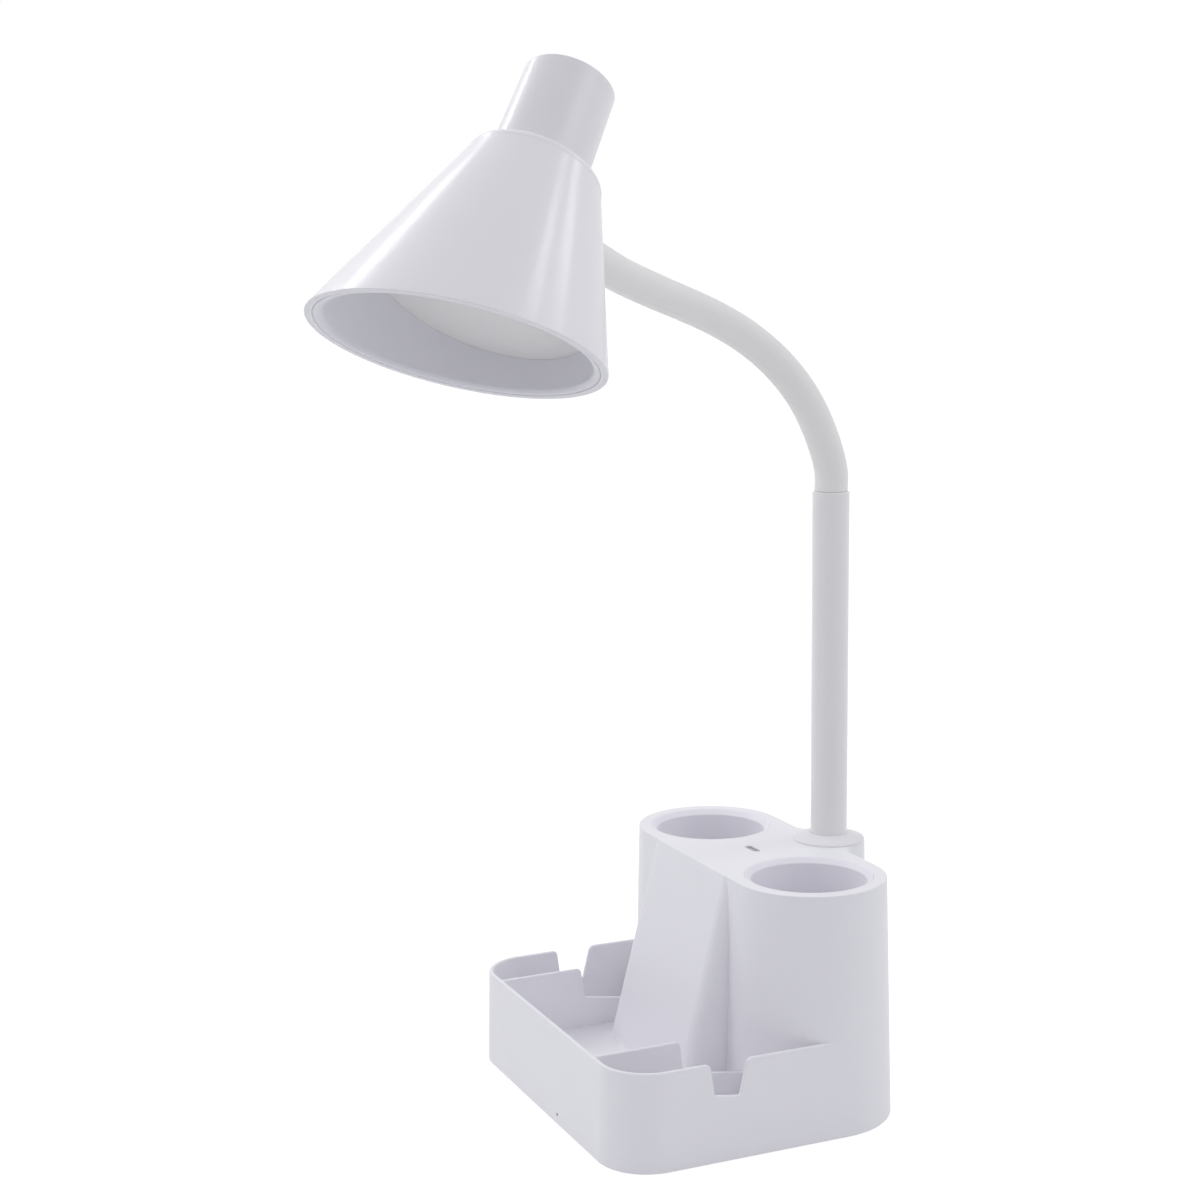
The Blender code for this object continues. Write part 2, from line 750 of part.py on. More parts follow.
head_turn = Euler((-head_tilt, 0.0, head_yaw), "XYZ").to_matrix()
neck_spot = rim_point(math.pi, 0.0).lerp(top_point(math.pi, 0.0), neck_share)
wall_way = (top_point(math.pi, 0.0) - rim_point(math.pi, 0.0)).normalized()
wall_normal = Vector((0.0, wall_way.z, -wall_way.y))
last_heading = head_turn @ -wall_normal

# The light's board and heat sink sit as high as the neck's end leaves room
reflector_top = (neck_spot.z - sink_below_neck - sink_fin_height - sink_thick - board_thick
                 - gap * 2)

joints = [Vector((0.0, pole_y, pole_top + neck_first))]
headings = [Vector((0.0, 0.0, 1.0))]
for lean_deg, swing_deg in zip(link_leans, link_swings):
    way = heading(math.radians(lean_deg), math.radians(swing_deg))
    headings.append(way)
    joints.append(joints[-1] + way * neck_pitch)
headings.append(last_heading)
neck_end = joints[-1] + last_heading * neck_last
head_place = neck_end - head_turn @ neck_spot


def link_frame(name, origin, way):
    """An empty on a joint, with Z along the link that starts there."""
    frame = bpy.data.objects.new(name, None)
    lamp.objects.link(frame)
    frame.parent = base
    across = Vector((0.0, 0.0, 1.0)).cross(way)
    across = across.normalized() if across.length > 0.0 else Vector((1.0, 0.0, 0.0))
    forward = way.cross(across)
    turn = Matrix((across, forward, way)).transposed()
    frame.matrix_local = Matrix.Translation(origin) @ turn.to_4x4()
    return frame


def ball_points(centre, ball, outer, inner, count):
    """Points on a ball from the inner radius out to the outer one."""
    start = math.asin(inner / ball)
    end = math.asin(outer / ball)
    points = []
    for i in range(count + 1):
        angle = start + (end - start) * i / count
        points.append((ball * math.sin(angle), centre + ball * math.cos(angle)))
    return points


def link_profile(outer, bore, length, count, low=None, high=None):
    """A neck link: round knuckle above, matching hollow below."""
    if high is None:
        profile = ball_points(length, ball_radius, outer, bore, count)
    else:
        profile = [(bore, high), (outer, high)]
    if low is None:
        profile += ball_points(0.0, ball_radius + gap, outer, bore, count)[::-1]
    else:
        profile += [(outer, low), (bore, low)]
    return profile


def shade_ring(share, inset=0.0):
    points = []
    for i in range(steps["shade"]):
        angle = 4 * right * i / steps["shade"]
        points.append(rim_point(angle, inset).lerp(top_point(angle, inset), share))
    return points


def shade_section(height, rim_inset, top_inset):
    """The shade's level section at a height on its axis, drawn in by the insets."""
    points = []
    for i in range(steps["shade"]):
        angle = 4 * right * i / steps["shade"]
        low = rim_point(angle, rim_inset)
        high = top_point(angle, top_inset)
        points.append(low.lerp(high, (height - low.z) / (high.z - low.z)))
    return points


def mixed_ring(share, rim_inset, top_inset):
    points = []
    for i in range(steps["shade"]):
        angle = 4 * right * i / steps["shade"]
        points.append(rim_point(angle, rim_inset).lerp(top_point(angle, top_inset), share))
    return points


def flared_end():
    """The last sleeve opens towards the shade and runs on into its wall."""
    profile = [(neck_bore, neck_last + neck_radius), (flare_radius, neck_last + neck_radius)]
    for i in range(flare_steps + 1):
        share = 1.0 - i / flare_steps
        radius = neck_radius + (flare_radius - neck_radius) * share ** 2
        profile.append((radius, neck_last - flare_length * (1.0 - share)))
    return profile


def make_neck():
    frame = link_frame("neck_link_00", Vector((0.0, pole_y, pole_top)), headings[0])
    sleeve = link_profile(neck_radius, neck_bore, neck_first, 2, low=gap)
    turned("neck_sleeve_01", sleeve, steps["small"], "sleeve", frame, closed=True)
    core = ball_points(neck_first, ball_radius, core_radius, core_bore, 1)
    plug = pole_bore - gap
    core += [(core_radius, gap), (core_radius, 0.0), (plug, 0.0), (plug, -plug_length)]
    core += [(core_bore, -plug_length)]
    turned("neck_core_01", core, steps["tiny"], "steel", frame, closed=True)
    for i, (joint, way) in enumerate(zip(joints, headings[1:])):
        number = i + 2
        frame = link_frame("neck_link_%02d" % (i + 1), joint, way)
        last = i == len(joints) - 1
        if last:
            sleeve = flared_end() + link_profile(neck_radius, neck_bore, neck_pitch, 2)[3:]
        else:
            sleeve = link_profile(neck_radius, neck_bore, neck_pitch, 2)
        sleeve = turned("neck_sleeve_%02d" % number, sleeve, steps["small"], "sleeve", frame, closed=True)
        core_high = neck_last + thread_past_wall if last else None
        core = link_profile(core_radius, core_bore, neck_pitch, 1, high=core_high)
        turned("neck_core_%02d" % number, core, steps["tiny"], "steel", frame, closed=True)
    return frame, sleeve


def make_head():
    head = bpy.data.objects.new("head_frame", None)
    lamp.objects.link(head)
    head.parent = base
    head.location = head_place
    head.rotation_euler = (-head_tilt, 0.0, head_yaw)
    last_frame, last_sleeve = make_neck()
    around = loft("cut_neck_end", [shade_ring(0.0, -gap), shade_ring(1.0, -gap)], parent=head)
    boolean(last_sleeve, around)
    make_shade(head, last_frame)
    make_head_inside(head)
    hexagon = arc((0.0, 0.0), head_nut_radius, 0.0, 4 * right, 6)[:-1]
    low = neck_last + shade_wall + head_nut_stand
    nut = upright("head_nut", hexagon, low, low + head_nut_height, mat="brass", parent=last_frame)
    bore = rod("cut_head_nut", core_radius + gap, low - over, low + head_nut_height + over,
               steps["tiny"], parent=last_frame)
    boolean(nut, bore)
    profile = [(0.0, cap_length)]
    profile += [(cap_top_radius - cap_chamfer, cap_length), (cap_top_radius, cap_length - cap_chamfer)]
    profile += [(cap_low_radius, gap), (cap_low_radius - cap_wall, gap)]
    profile += [(cap_top_radius - cap_wall, cap_length - cap_wall), (0.0, cap_length - cap_wall)]
    cap = turned("head_cap", profile, steps["large"], "shade", head)
    cap.location = (0.0, 0.0, shade_length)


def make_shade(head, last_frame):
    slant = (rim_radius - shade_top_radius) / shade_length
    near_top = 1.0 - shade_round / shade_length
    rings = [shade_ring(0.0), shade_ring(near_top)]
    turn = right - math.atan(slant)
    for i in (1, 2, 3):
        angle = turn * i / 3
        radius = shade_top_radius + slant * shade_round
        radius -= shade_round * (1.0 - math.cos(angle))
        height = shade_length - shade_round * (1.0 - math.sin(angle) / math.sin(turn))
        points = [(Vector((p.x, p.y, 0.0)).normalized() * radius) + Vector((0.0, 0.0, height))
                  for p in shade_ring(1.0)]
        rings.append(points)
    spigot_low = [(Vector((p.x, p.y, 0.0)).normalized() * spigot_radius).to_tuple()[:2]
                  for p in shade_ring(1.0)]
    rings.append(level(spigot_low, shade_length))
    rings.append(level(spigot_low, shade_length + spigot_height))
    share = spigot_bore / spigot_radius
    bore = [(x * share, y * share) for x, y in spigot_low]
    rings.append(level(bore, shade_length + spigot_height))
    roof = shade_length - shade_roof
    rings.append(level(bore, roof))
    rings.append(shade_section(roof, rim_band, shade_wall))
    rings.append(mixed_ring(0.0, rim_band, shade_wall))
    shell = loft("shade_shell", rings, "shade", head, closed=True)
    hole = rod("cut_neck_hole", core_radius + gap, neck_last - neck_radius,
               neck_last + thread_past_wall + over, steps["tiny"], parent=last_frame)
    boolean(shell, hole)
    smooth(shell)


def make_head_inside(head):
    outer = rim_band + gap
    outer_top = shade_wall + gap
    lining_top = diffuser_height - gap
    inner_top = outer_top + lining_wall
    rings = [mixed_ring(0.0, outer, outer_top), shade_section(lining_top, outer, outer_top)]
    rings.append(shade_section(lining_top, outer + lining_wall, inner_top))
    rings.append(mixed_ring(lip_depth_share, outer + lining_wall, inner_top))
    rings.append(mixed_ring(lip_depth_share, outer + lip_width, outer_top + lip_width))
    rings.append(mixed_ring(0.0, outer + lip_width, outer_top + lip_width))
    smooth(loft("shade_lining", rings, "lining", head, closed=True))
    top = diffuser_height + diffuser_thick
    rings = [shade_section(diffuser_height, outer, outer_top), shade_section(top, outer, outer_top)]
    smooth(loft("diffuser", rings, "diffuser", head))
    low = top + gap
    edge = reflector_edge
    rings = [shade_section(low, outer, outer_top)]
    rings.append(shade_section(low + reflector_wall, outer, outer_top))
    cone_low = shade_section(low + reflector_wall, outer + edge, outer_top + edge)
    unit = [Vector((p.x, p.y, 0.0)).normalized() for p in cone_low]
    collar_top = [(v * (reflector_top_radius + reflector_wall)).to_tuple()[:2] for v in unit]
    collar_in = [(v * reflector_top_radius).to_tuple()[:2] for v in unit]
    rings.append(cone_low)
    rings.append(level(collar_top, reflector_top))
    rings.append(level(collar_in, reflector_top))
    rings.append(shade_section(low, outer + edge + reflector_wall, outer_top + edge + reflector_wall))
    smooth(loft("reflector", rings, "reflector", head, closed=True))
    board_low = reflector_top + gap
    board = rod("led_board", board_radius, board_low, board_low + board_thick, steps["middle"],
                "white_board", head)
    add_leds(board, head, board_low)
    sink_low = board_low + board_thick + gap
    sink_high = sink_low + sink_thick
    rings = [shade_section(sink_low, outer, outer_top), shade_section(sink_high, outer, outer_top)]
    sink = loft("heat_sink", rings, "aluminium", head)
    middle = (sink_fins - 1) / 2
    for i in range(sink_fins):
        x = (i - middle) * sink_fin_step
        fin = block("sink_fin_%d" % i, (sink_fin_thick, sink_fin_length, sink_fin_height + bite),
                    (x, -sink_fin_shift, sink_high + (sink_fin_height - bite) / 2), parent=head)
        boolean(sink, fin, "UNION")


def add_leds(board, head, low):
    for radius, count in led_circles:
        for i in range(count):
            angle = 4 * right * i / count
            place = (radius * math.cos(angle), radius * math.sin(angle), low)
            chip = block("led_%d_%d" % (count, i), (led_size, led_size, led_height * 2), place,
                         parent=head)
            boolean(board, chip, "UNION")


def make_screw(name, low):
    """A flat-headed screw pointing up; low is the underside of its head."""
    shoulder = low + screw_head_height
    tip = shoulder + screw_length
    profile = [(0.0, tip), (screw_radius, tip), (screw_radius, shoulder), (screw_head, shoulder)]
    profile += [(screw_head, low), (0.0, low)]
    return turned(name, profile, steps["tiny"], "steel")


def make_underside():
    inset = skirt_wall + shrink(cover_sunk) + gap
    top_inset = inset + shrink(cover_thick)
    low = cover_sunk
    high = cover_sunk + cover_thick
    outline = rear_outline(inset) + tray_outline(inset)
    outline_top = rear_outline(top_inset) + tray_outline(top_inset)
    cover = loft("bottom_cover", [level(outline, low), level(outline_top, high)], "housing")
    seat = low + screw_head_height + gap
    for i, (x, y) in enumerate(screw_places):
        head = screw_head + gap
        hole = screw_radius + gap
        profile = [(0.0, high + over), (hole, high + over), (hole, seat), (head, seat)]
        profile += [(head, low - over), (0.0, low - over)]
        boolean(cover, put(turned("cut_screw_%d" % i, profile, steps["tiny"]), x, y))
    for i, (x, y) in enumerate(screw_places):
        put(make_screw("cover_screw_%d" % (i + 1), low), x, y)
    thick = cover_sunk + foot_height - gap
    for i, (x, y) in enumerate(foot_places):
        foot = rod("rubber_foot_%d" % (i + 1), foot_radius, -foot_height, thick - foot_height,
                   steps["small"], "rubber")
        put(foot, x, y)
    rod("rubber_foot_middle", middle_foot_radius, -foot_height, thick - foot_height, steps["middle"],
        "rubber")
    ballast_mid = high + gap + ballast_size[2] / 2
    block("ballast_plate", ballast_size, (0.0, ballast_y, ballast_mid), "steel")


def make_electronics():
    mid = board_z + board_size[2] / 2
    board = block("main_board", board_size, (board_place[0], board_place[1], mid), "board")
    top = board_z + board_size[2] + gap
    under = board_z - gap
    for i, (x, y) in enumerate(board_posts):
        hole = rod("cut_board_%d" % i, board_screw_radius + gap, board_z - over, top + over, steps["tiny"])
        boolean(board, put(hole, x, y))
        tip = top + board_screw_length - gap
        low = under - board_screw_head_height
        profile = [(0.0, tip), (board_screw_radius, tip), (board_screw_radius, under)]
        profile += [(board_screw_head, under), (board_screw_head, low), (0.0, low)]
        put(turned("board_screw_%d" % (i + 1), profile, steps["tiny"], "steel"), x, y)
    pad_y = -tray_front + pad_back + pad_size[1] / 2
    pad_z = cover_sunk + cover_thick + gap + pad_size[2] / 2
    pad = block("touch_pad", pad_size, (lens_x, pad_y, pad_z), "copper")
    pad_hole = rod("cut_pad", lens_radius + gap, -over, lens_length + over, steps["tiny"])
    pad_hole.location = (lens_x, -tray_front, lens_z)
    pad_hole.rotation_euler = (-right, 0.0, 0.0)
    boolean(pad, pad_hole)
    lens = rod("indicator_lens", lens_radius, lens_sunk, lens_length, steps["tiny"], "lens")
    lens.location = (lens_x, -tray_front + shrink(lens_z), lens_z)
    lens.rotation_euler = (-right, 0.0, 0.0)
    barrel = rod("dc_inlet", inlet_radius, -inlet_out, inlet_depth, steps["small"], "black")
    barrel.location = (inlet_x, tower_radius - shrink(inlet_z), inlet_z)
    barrel.rotation_euler = (right, 0.0, 0.0)
    body_y = tower_radius - shrink(inlet_z) - inlet_depth
    body = block("inlet_body", inlet_body, (inlet_x, body_y, inlet_z))
    boolean(barrel, body, "UNION")
    bore = tube("cut_inlet_bore", inlet_bore, pin_radius, -inlet_out - over, inlet_depth - over * 2,
                steps["small"])
    bore.location = barrel.location
    bore.rotation_euler = barrel.rotation_euler
    boolean(barrel, bore)
    trim = rod("cut_pin", pin_radius + over, -inlet_out - over, pin_short, steps["small"])
    trim.location = barrel.location
    trim.rotation_euler = barrel.rotation_euler
    boolean(barrel, trim)


make_housing()
make_liner("pen_cup_liner_right", cup_x)
make_liner("pen_cup_liner_left", -cup_x)
make_socket()
make_pole()
make_lead()
make_head()
make_underside()
make_electronics()
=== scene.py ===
"""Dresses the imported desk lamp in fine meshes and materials, with its camera and light.

Everything is in the frame's metres, +Z up, origin on the desk between the pen cups.
"""
import math

import bmesh
import bpy
from mathutils import Euler, Matrix, Vector


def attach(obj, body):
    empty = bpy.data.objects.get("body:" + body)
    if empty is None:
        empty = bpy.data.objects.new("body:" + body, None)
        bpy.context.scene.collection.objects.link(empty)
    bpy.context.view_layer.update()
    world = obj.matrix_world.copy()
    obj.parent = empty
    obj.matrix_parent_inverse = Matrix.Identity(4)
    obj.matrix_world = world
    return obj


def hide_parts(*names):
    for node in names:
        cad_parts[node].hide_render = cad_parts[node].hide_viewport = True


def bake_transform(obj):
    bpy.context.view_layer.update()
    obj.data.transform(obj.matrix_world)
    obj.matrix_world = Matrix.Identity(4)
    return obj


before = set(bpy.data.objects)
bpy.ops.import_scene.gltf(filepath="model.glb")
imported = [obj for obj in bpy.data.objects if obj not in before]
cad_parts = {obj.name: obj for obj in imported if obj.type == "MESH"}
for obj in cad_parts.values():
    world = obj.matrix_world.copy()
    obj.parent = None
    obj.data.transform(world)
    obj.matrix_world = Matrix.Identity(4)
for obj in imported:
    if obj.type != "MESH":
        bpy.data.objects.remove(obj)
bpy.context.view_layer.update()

MM = 0.001
right = math.pi / 2
full = math.pi * 2

# Base housing, as in the CAD source
foot_height = 1.2 * MM
base_height = 112.1 * MM
draft = math.radians(1.4)
cup_x = 49.73 * MM
tower_radius = 38.34 * MM
pole_y = 39.1 * MM
lobe_radius = 20.04 * MM
lobe_fillet = 8.0 * MM
tray_front = 113.6 * MM
tray_corner = 23.7 * MM
rim_height = 45.2 * MM
tray_floor = 15.3 * MM
floor_thick = 2.0 * MM
tray_wall = 2.15 * MM
skirt_wall = 2.1 * MM
tower_wall = 2.6 * MM
plate_thick = 3.0 * MM
cavity_start = 5.0 * MM
rim_round = 0.8 * MM
top_round = 0.5 * MM
foot_round = 0.6 * MM
floor_round = 1.2 * MM
tuck = 0.06 * MM
wall_flat_ahead = 3.0 * MM
wall_flat_behind = 2.0 * MM
tray_end_turns = (12.0, 9.0, 6.0, 3.5)

# Phone rest
wedge_top_y = -36.0 * MM
wedge_foot_y = -61.2 * MM
wedge_top_half = 39.4 * MM
wedge_foot_half = 41.2 * MM
wedge_back_y = -20.0 * MM
wedge_edge = 5.5 * MM
wedge_wall = 2.7 * MM
wedge_roof = 3.4 * MM

# Low walls and the tablet slot
inner_wall_x = 54.6 * MM
inner_wall_thick = 2.0 * MM
inner_wall_front = 111.4 * MM
inner_wall_back = 36.0 * MM
inner_wall_round = 0.7 * MM
slot_front_top_y = -69.3 * MM
slot_front_y = -67.3 * MM
slot_front_z = 30.7 * MM
slot_rear_y = -55.0 * MM
slot_rear_top_y = -51.0 * MM
slot_lean = math.radians(8.6)
slot_front_round = 2.5 * MM
slot_rear_round = 3.0 * MM
slot_inner_round = 1.0 * MM
ledge_drop = 0.45 * MM

# Pen cups
cup_bore = 26.6 * MM
cup_bottom_bore = 25.6 * MM
cup_lip = 2.4 * MM
lip_low_round = 0.8 * MM
lip_high_round = 1.0 * MM
seam = 0.1 * MM
liner_wall = 1.6 * MM
liner_flange = 29.3 * MM
liner_flange_thick = 1.0 * MM
liner_floor = 18.0 * MM
liner_floor_thick = 1.8 * MM
liner_floor_round = 2.0 * MM

# Charging socket
socket_x = 0.4 * MM
socket_y = -2.9 * MM
slot_length = 11.0 * MM
slot_width = 3.9 * MM
mouth_flare = 0.1 * MM
mouth_depth = 0.2 * MM
socket_length = 8.9 * MM
socket_width = 3.3 * MM
socket_shell = 0.3 * MM
socket_depth = 7.0 * MM
socket_sunk = 0.2 * MM
tongue_length = 6.4 * MM
tongue_thick = 0.7 * MM
tongue_round = 0.15 * MM
tongue_sunk = 0.5 * MM

# Collar and pole
collar_radius = 17.2 * MM
collar_edge = 1.2 * MM
collar_rise = 3.4 * MM
collar_round = 0.5 * MM
collar_top_round = 0.5 * MM
collar_shoulder_round = 1.2 * MM
collar_side_round = 0.3 * MM
pole_radius = 8.78 * MM
pole_bore = 7.3 * MM
pole_top = 281.7 * MM
pole_chamfer = 0.6 * MM
pole_bore_round = 0.2 * MM
pole_below = 15.0 * MM

# Neck
neck_radius = 7.9 * MM
neck_bore = 5.2 * MM
neck_first = 9.2 * MM
neck_pitch = 19.95 * MM
neck_last = 23.2 * MM
flare_radius = 9.8 * MM
flare_rise = 1.3 * MM
flare_length = 13.0 * MM
flare_sunk = 1.6 * MM
neck_start_insets = (0.3 * MM, 0.1 * MM, 0.0)
link_leans = (17.8, 28.8, 41.3, 52.5, 62.1, 68.9, 71.4, 70.9, 66.6)
link_swings = (0.0, 0.0, 0.8, 3.2, 6.8, 11.0, 15.3, 19.2, 21.7)

# Shade
head_tilt = math.radians(35.6)
head_yaw = math.radians(33.2)
rim_radius = 61.48 * MM
rim_shift = 5.78 * MM
rim_tip = math.radians(12.93)
shade_top_radius = 27.93 * MM
shade_length = 90.38 * MM
shade_round = 4.2 * MM
rim_band = 3.05 * MM
shade_wall = 2.4 * MM
shade_roof = 2.6 * MM
neck_share = 0.84
spigot_radius = 18.2 * MM
spigot_bore = 16.2 * MM
spigot_height = 4.0 * MM
lip_width = 3.1 * MM
lip_sunk = 0.5 * MM
lip_edge = 0.3 * MM
step_width = 0.35 * MM
step_depth = 0.85 * MM
lining_gap = 0.06 * MM
seat_gap = 0.04 * MM
lining_wall = 1.2 * MM
diffuser_height = 27.6 * MM
diffuser_thick = 2.5 * MM
edge_round = 0.7 * MM
groove_round = 0.45 * MM
lip_round = 2.0 * MM
disc_gap = 0.05 * MM
flat_limit = 0.01 * MM
cap_low_radius = 21.07 * MM
cap_top_radius = 19.9 * MM
cap_length = 44.55 * MM
cap_wall = 2.0 * MM
cap_round = 0.6 * MM
cap_low_round = 0.3 * MM

# Openings in the walls
lens_x = 18.7 * MM
lens_z = 4.8 * MM
lens_radius = 0.5 * MM
inlet_x = -32.0 * MM
inlet_z = 14.0 * MM
inlet_radius = 4.4 * MM

gap = 0.3 * MM
over = 1.0 * MM
bite = 1.0 * MM
crease = math.radians(32.0)
housing_crease = math.radians(28.0)
merge_distance = 0.000001

# Places along the neck, counted in links, for its pieces
neck_start_places = (0.004, 0.02, 0.05)
end_step = 0.012

# How many straight stretches make up each round or length
cup_steps = 36
corner_steps = 18
lobe_steps = 30
fillet_steps = 6
cup_segments = 120
pole_hole_segments = 64
lens_segments = 24
inlet_segments = 48
collar_segments = 96
pole_segments = 72
neck_segments = 56
neck_rows = 10
flare_rows = 14
shade_steps = 144
shade_rows = 12
shoulder_rows = 8

# A Mix node set to colours: its two colour inputs and its output
mix_low, mix_high, mix_out = 6, 7, 2


# Mesh helpers

def build(name, verts, faces, place=None):
    """A mesh object from points and faces, with its faces turned outward."""
    mesh = bpy.data.meshes.new(name)
    mesh.from_pydata([tuple(v) for v in verts], [], faces)
    bm = bmesh.new()
    bm.from_mesh(mesh)
    bmesh.ops.remove_doubles(bm, verts=bm.verts[:], dist=merge_distance)
    bmesh.ops.recalc_face_normals(bm, faces=bm.faces[:])
    bm.to_mesh(mesh)
    bm.free()
    mesh.transform(place if place is not None else shift(0.0, 0.0))
    obj = bpy.data.objects.new(name, mesh)
    bpy.context.scene.collection.objects.link(obj)
    return obj


def loft(name, rings, closed=False, place=None):
    """Skins rings of equal length; closed joins the last ring to the first."""
    count = len(rings[0])
    verts = [point for ring in rings for point in ring]
    faces = []
    last = len(rings) if closed else len(rings) - 1
    for row in range(last):
        below = row * count
        above = ((row + 1) % len(rings)) * count
        for i in range(count):
            j = (i + 1) % count
            faces.append((below + i, below + j, above + j, above + i))
    if not closed:
        faces.append(tuple(range(count)))
        faces.append(tuple(range(len(verts) - count, len(verts))))
    return build(name, verts, faces, place)


def turned(name, profile, steps, place=None):
    """Turns a closed (radius, height) profile round Z."""
    rings = []
    for radius, height in profile:
        ring = []
        for i in range(steps):
            angle = full * i / steps
            ring.append((radius * math.cos(angle), radius * math.sin(angle), height))
        rings.append(ring)
    return loft(name, rings, closed=True, place=place)


def arc(centre, radius, start, end, count):
    """Points of an arc from one angle to another, both ends among them."""
    points = []
    for i in range(count + 1):
        angle = start + (end - start) * i / count
        points.append((centre[0] + radius * math.cos(angle), centre[1] + radius * math.sin(angle)))
    return points


def rounded(before, corner, after, radius, count=4):
    """Points of the arc that rounds a corner between two straight lines."""
    corner = Vector(corner)
    back = (Vector(before) - corner).normalized()
    ahead = (Vector(after) - corner).normalized()
    half = back.angle(ahead) / 2
    centre = corner + (back + ahead).normalized() * radius / math.sin(half)
    first = corner + back * radius / math.tan(half) - centre
    last = corner + ahead * radius / math.tan(half) - centre
    turn = first.angle_signed(last)
    points = []
    for i in range(count + 1):
        angle = -turn * i / count
        way = Vector((first.x * math.cos(angle) - first.y * math.sin(angle),
                      first.x * math.sin(angle) + first.y * math.cos(angle)))
        points.append(tuple(centre + way))
    return points


def soften(profile, count=4):
    """A closed profile of (x, y, rounding) with each corner rounded by its own radius."""
    points = []
    for i, (x, y, radius) in enumerate(profile):
        if radius > 0.0:
            before = profile[i - 1][:2]
            after = profile[(i + 1) % len(profile)][:2]
            points += rounded(before, (x, y), after, radius, count)
        else:
            points.append((x, y))
    return points


def level(points, height):
    return [(x, y, height) for x, y in points]


def shift(x, y, z=0.0):
    """A place measured from the base's underside, which stands on its feet."""
    return Matrix.Translation((x, y, z + foot_height))


def quarter(radius, count=5):
    """Steps of a quarter round: how far in and how far below the edge."""
    steps = []
    for i in range(count + 1):
        angle = right * i / count
        steps.append((radius * (1.0 - math.cos(angle)), radius * (1.0 - math.sin(angle))))
    return steps


def combine(obj, others, operation="DIFFERENCE"):
    """Applies Booleans with the other objects, then removes these."""
    for other in others:
        mod = obj.modifiers.new(other.name, "BOOLEAN")
        mod.operation = operation
        mod.solver = "EXACT"
        mod.object = other
    depsgraph = bpy.context.evaluated_depsgraph_get()
    mesh = bpy.data.meshes.new_from_object(obj.evaluated_get(depsgraph))
    obj.modifiers.clear()
    obj.data = mesh
    for other in others:
        bpy.data.objects.remove(other, do_unlink=True)


def dress(obj, body, mat, nodes=(), angle=crease):
    """Smooth shading, material, and the piece's place in the frame."""
    obj.data.shade_smooth()
    obj.data.set_sharp_from_angle(angle=angle)
    even = obj.modifiers.new("even_normals", "WEIGHTED_NORMAL")
    even.keep_sharp = True
    obj.data.materials.clear()
    obj.data.materials.append(mats[mat])
    if body is not None:
        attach(obj, body)
    if nodes:
        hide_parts(*nodes)


# Materials

drift_scale = 18.0
gloss_share = 0.12
noise_low, noise_high = 0.3, 0.7
least_rough = 0.02
relief_height = 0.1 * MM


def node(tree, kind, **values):
    """Adds a node; a value whose name is one of its inputs is set there, others on the node."""
    made = tree.nodes.new(kind)
    for key, value in values.items():
        if key in made.inputs:
            made.inputs[key].default_value = value
        else:
            setattr(made, key, value)
    return made


def finish_material(name, colour, rough, spread=0.02, grain=2600.0, bump=0.05, rough_spread=0.05,
                    **sockets):
    """A moulded, painted or metal finish: broad tone drift, fine grain and uneven gloss."""
    mat = bpy.data.materials.new(name)
    mat.use_nodes = True
    tree = mat.node_tree
    shader = tree.nodes["Principled BSDF"]
    for key, value in sockets.items():
        shader.inputs[key.replace("_", " ")].default_value = value
    coords = node(tree, "ShaderNodeTexCoord")
    broad = node(tree, "ShaderNodeTexNoise", Scale=drift_scale, Detail=3.0, Roughness=0.5)
    fine = node(tree, "ShaderNodeTexNoise", Scale=grain, Detail=4.0, Roughness=0.6)
    middle = node(tree, "ShaderNodeTexNoise", Scale=grain * gloss_share, Detail=3.0,
                  Roughness=0.55)
    for noise in (broad, fine, middle):
        tree.links.new(coords.outputs["Object"], noise.inputs["Vector"])
    tone = node(tree, "ShaderNodeMix", data_type="RGBA")
    low = [c * (1.0 - spread) for c in colour]
    high = [min(c * (1.0 + spread), 1.0) for c in colour]
    tone.inputs[mix_low].default_value = (*low, 1.0)
    tone.inputs[mix_high].default_value = (*high, 1.0)
    tree.links.new(broad.outputs["Fac"], tone.inputs[0])
    tree.links.new(tone.outputs[mix_out], shader.inputs["Base Color"])
    gloss = node(tree, "ShaderNodeMapRange")
    gloss.inputs["From Min"].default_value = noise_low
    gloss.inputs["From Max"].default_value = noise_high
    gloss.inputs["To Min"].default_value = max(rough - rough_spread, least_rough)
    gloss.inputs["To Max"].default_value = rough + rough_spread
    tree.links.new(middle.outputs["Fac"], gloss.inputs["Value"])
    tree.links.new(gloss.outputs["Result"], shader.inputs["Roughness"])
    relief = node(tree, "ShaderNodeBump", Strength=bump, Distance=relief_height)
    tree.links.new(fine.outputs["Fac"], relief.inputs["Height"])
    tree.links.new(relief.outputs["Normal"], shader.inputs["Normal"])
    return mat


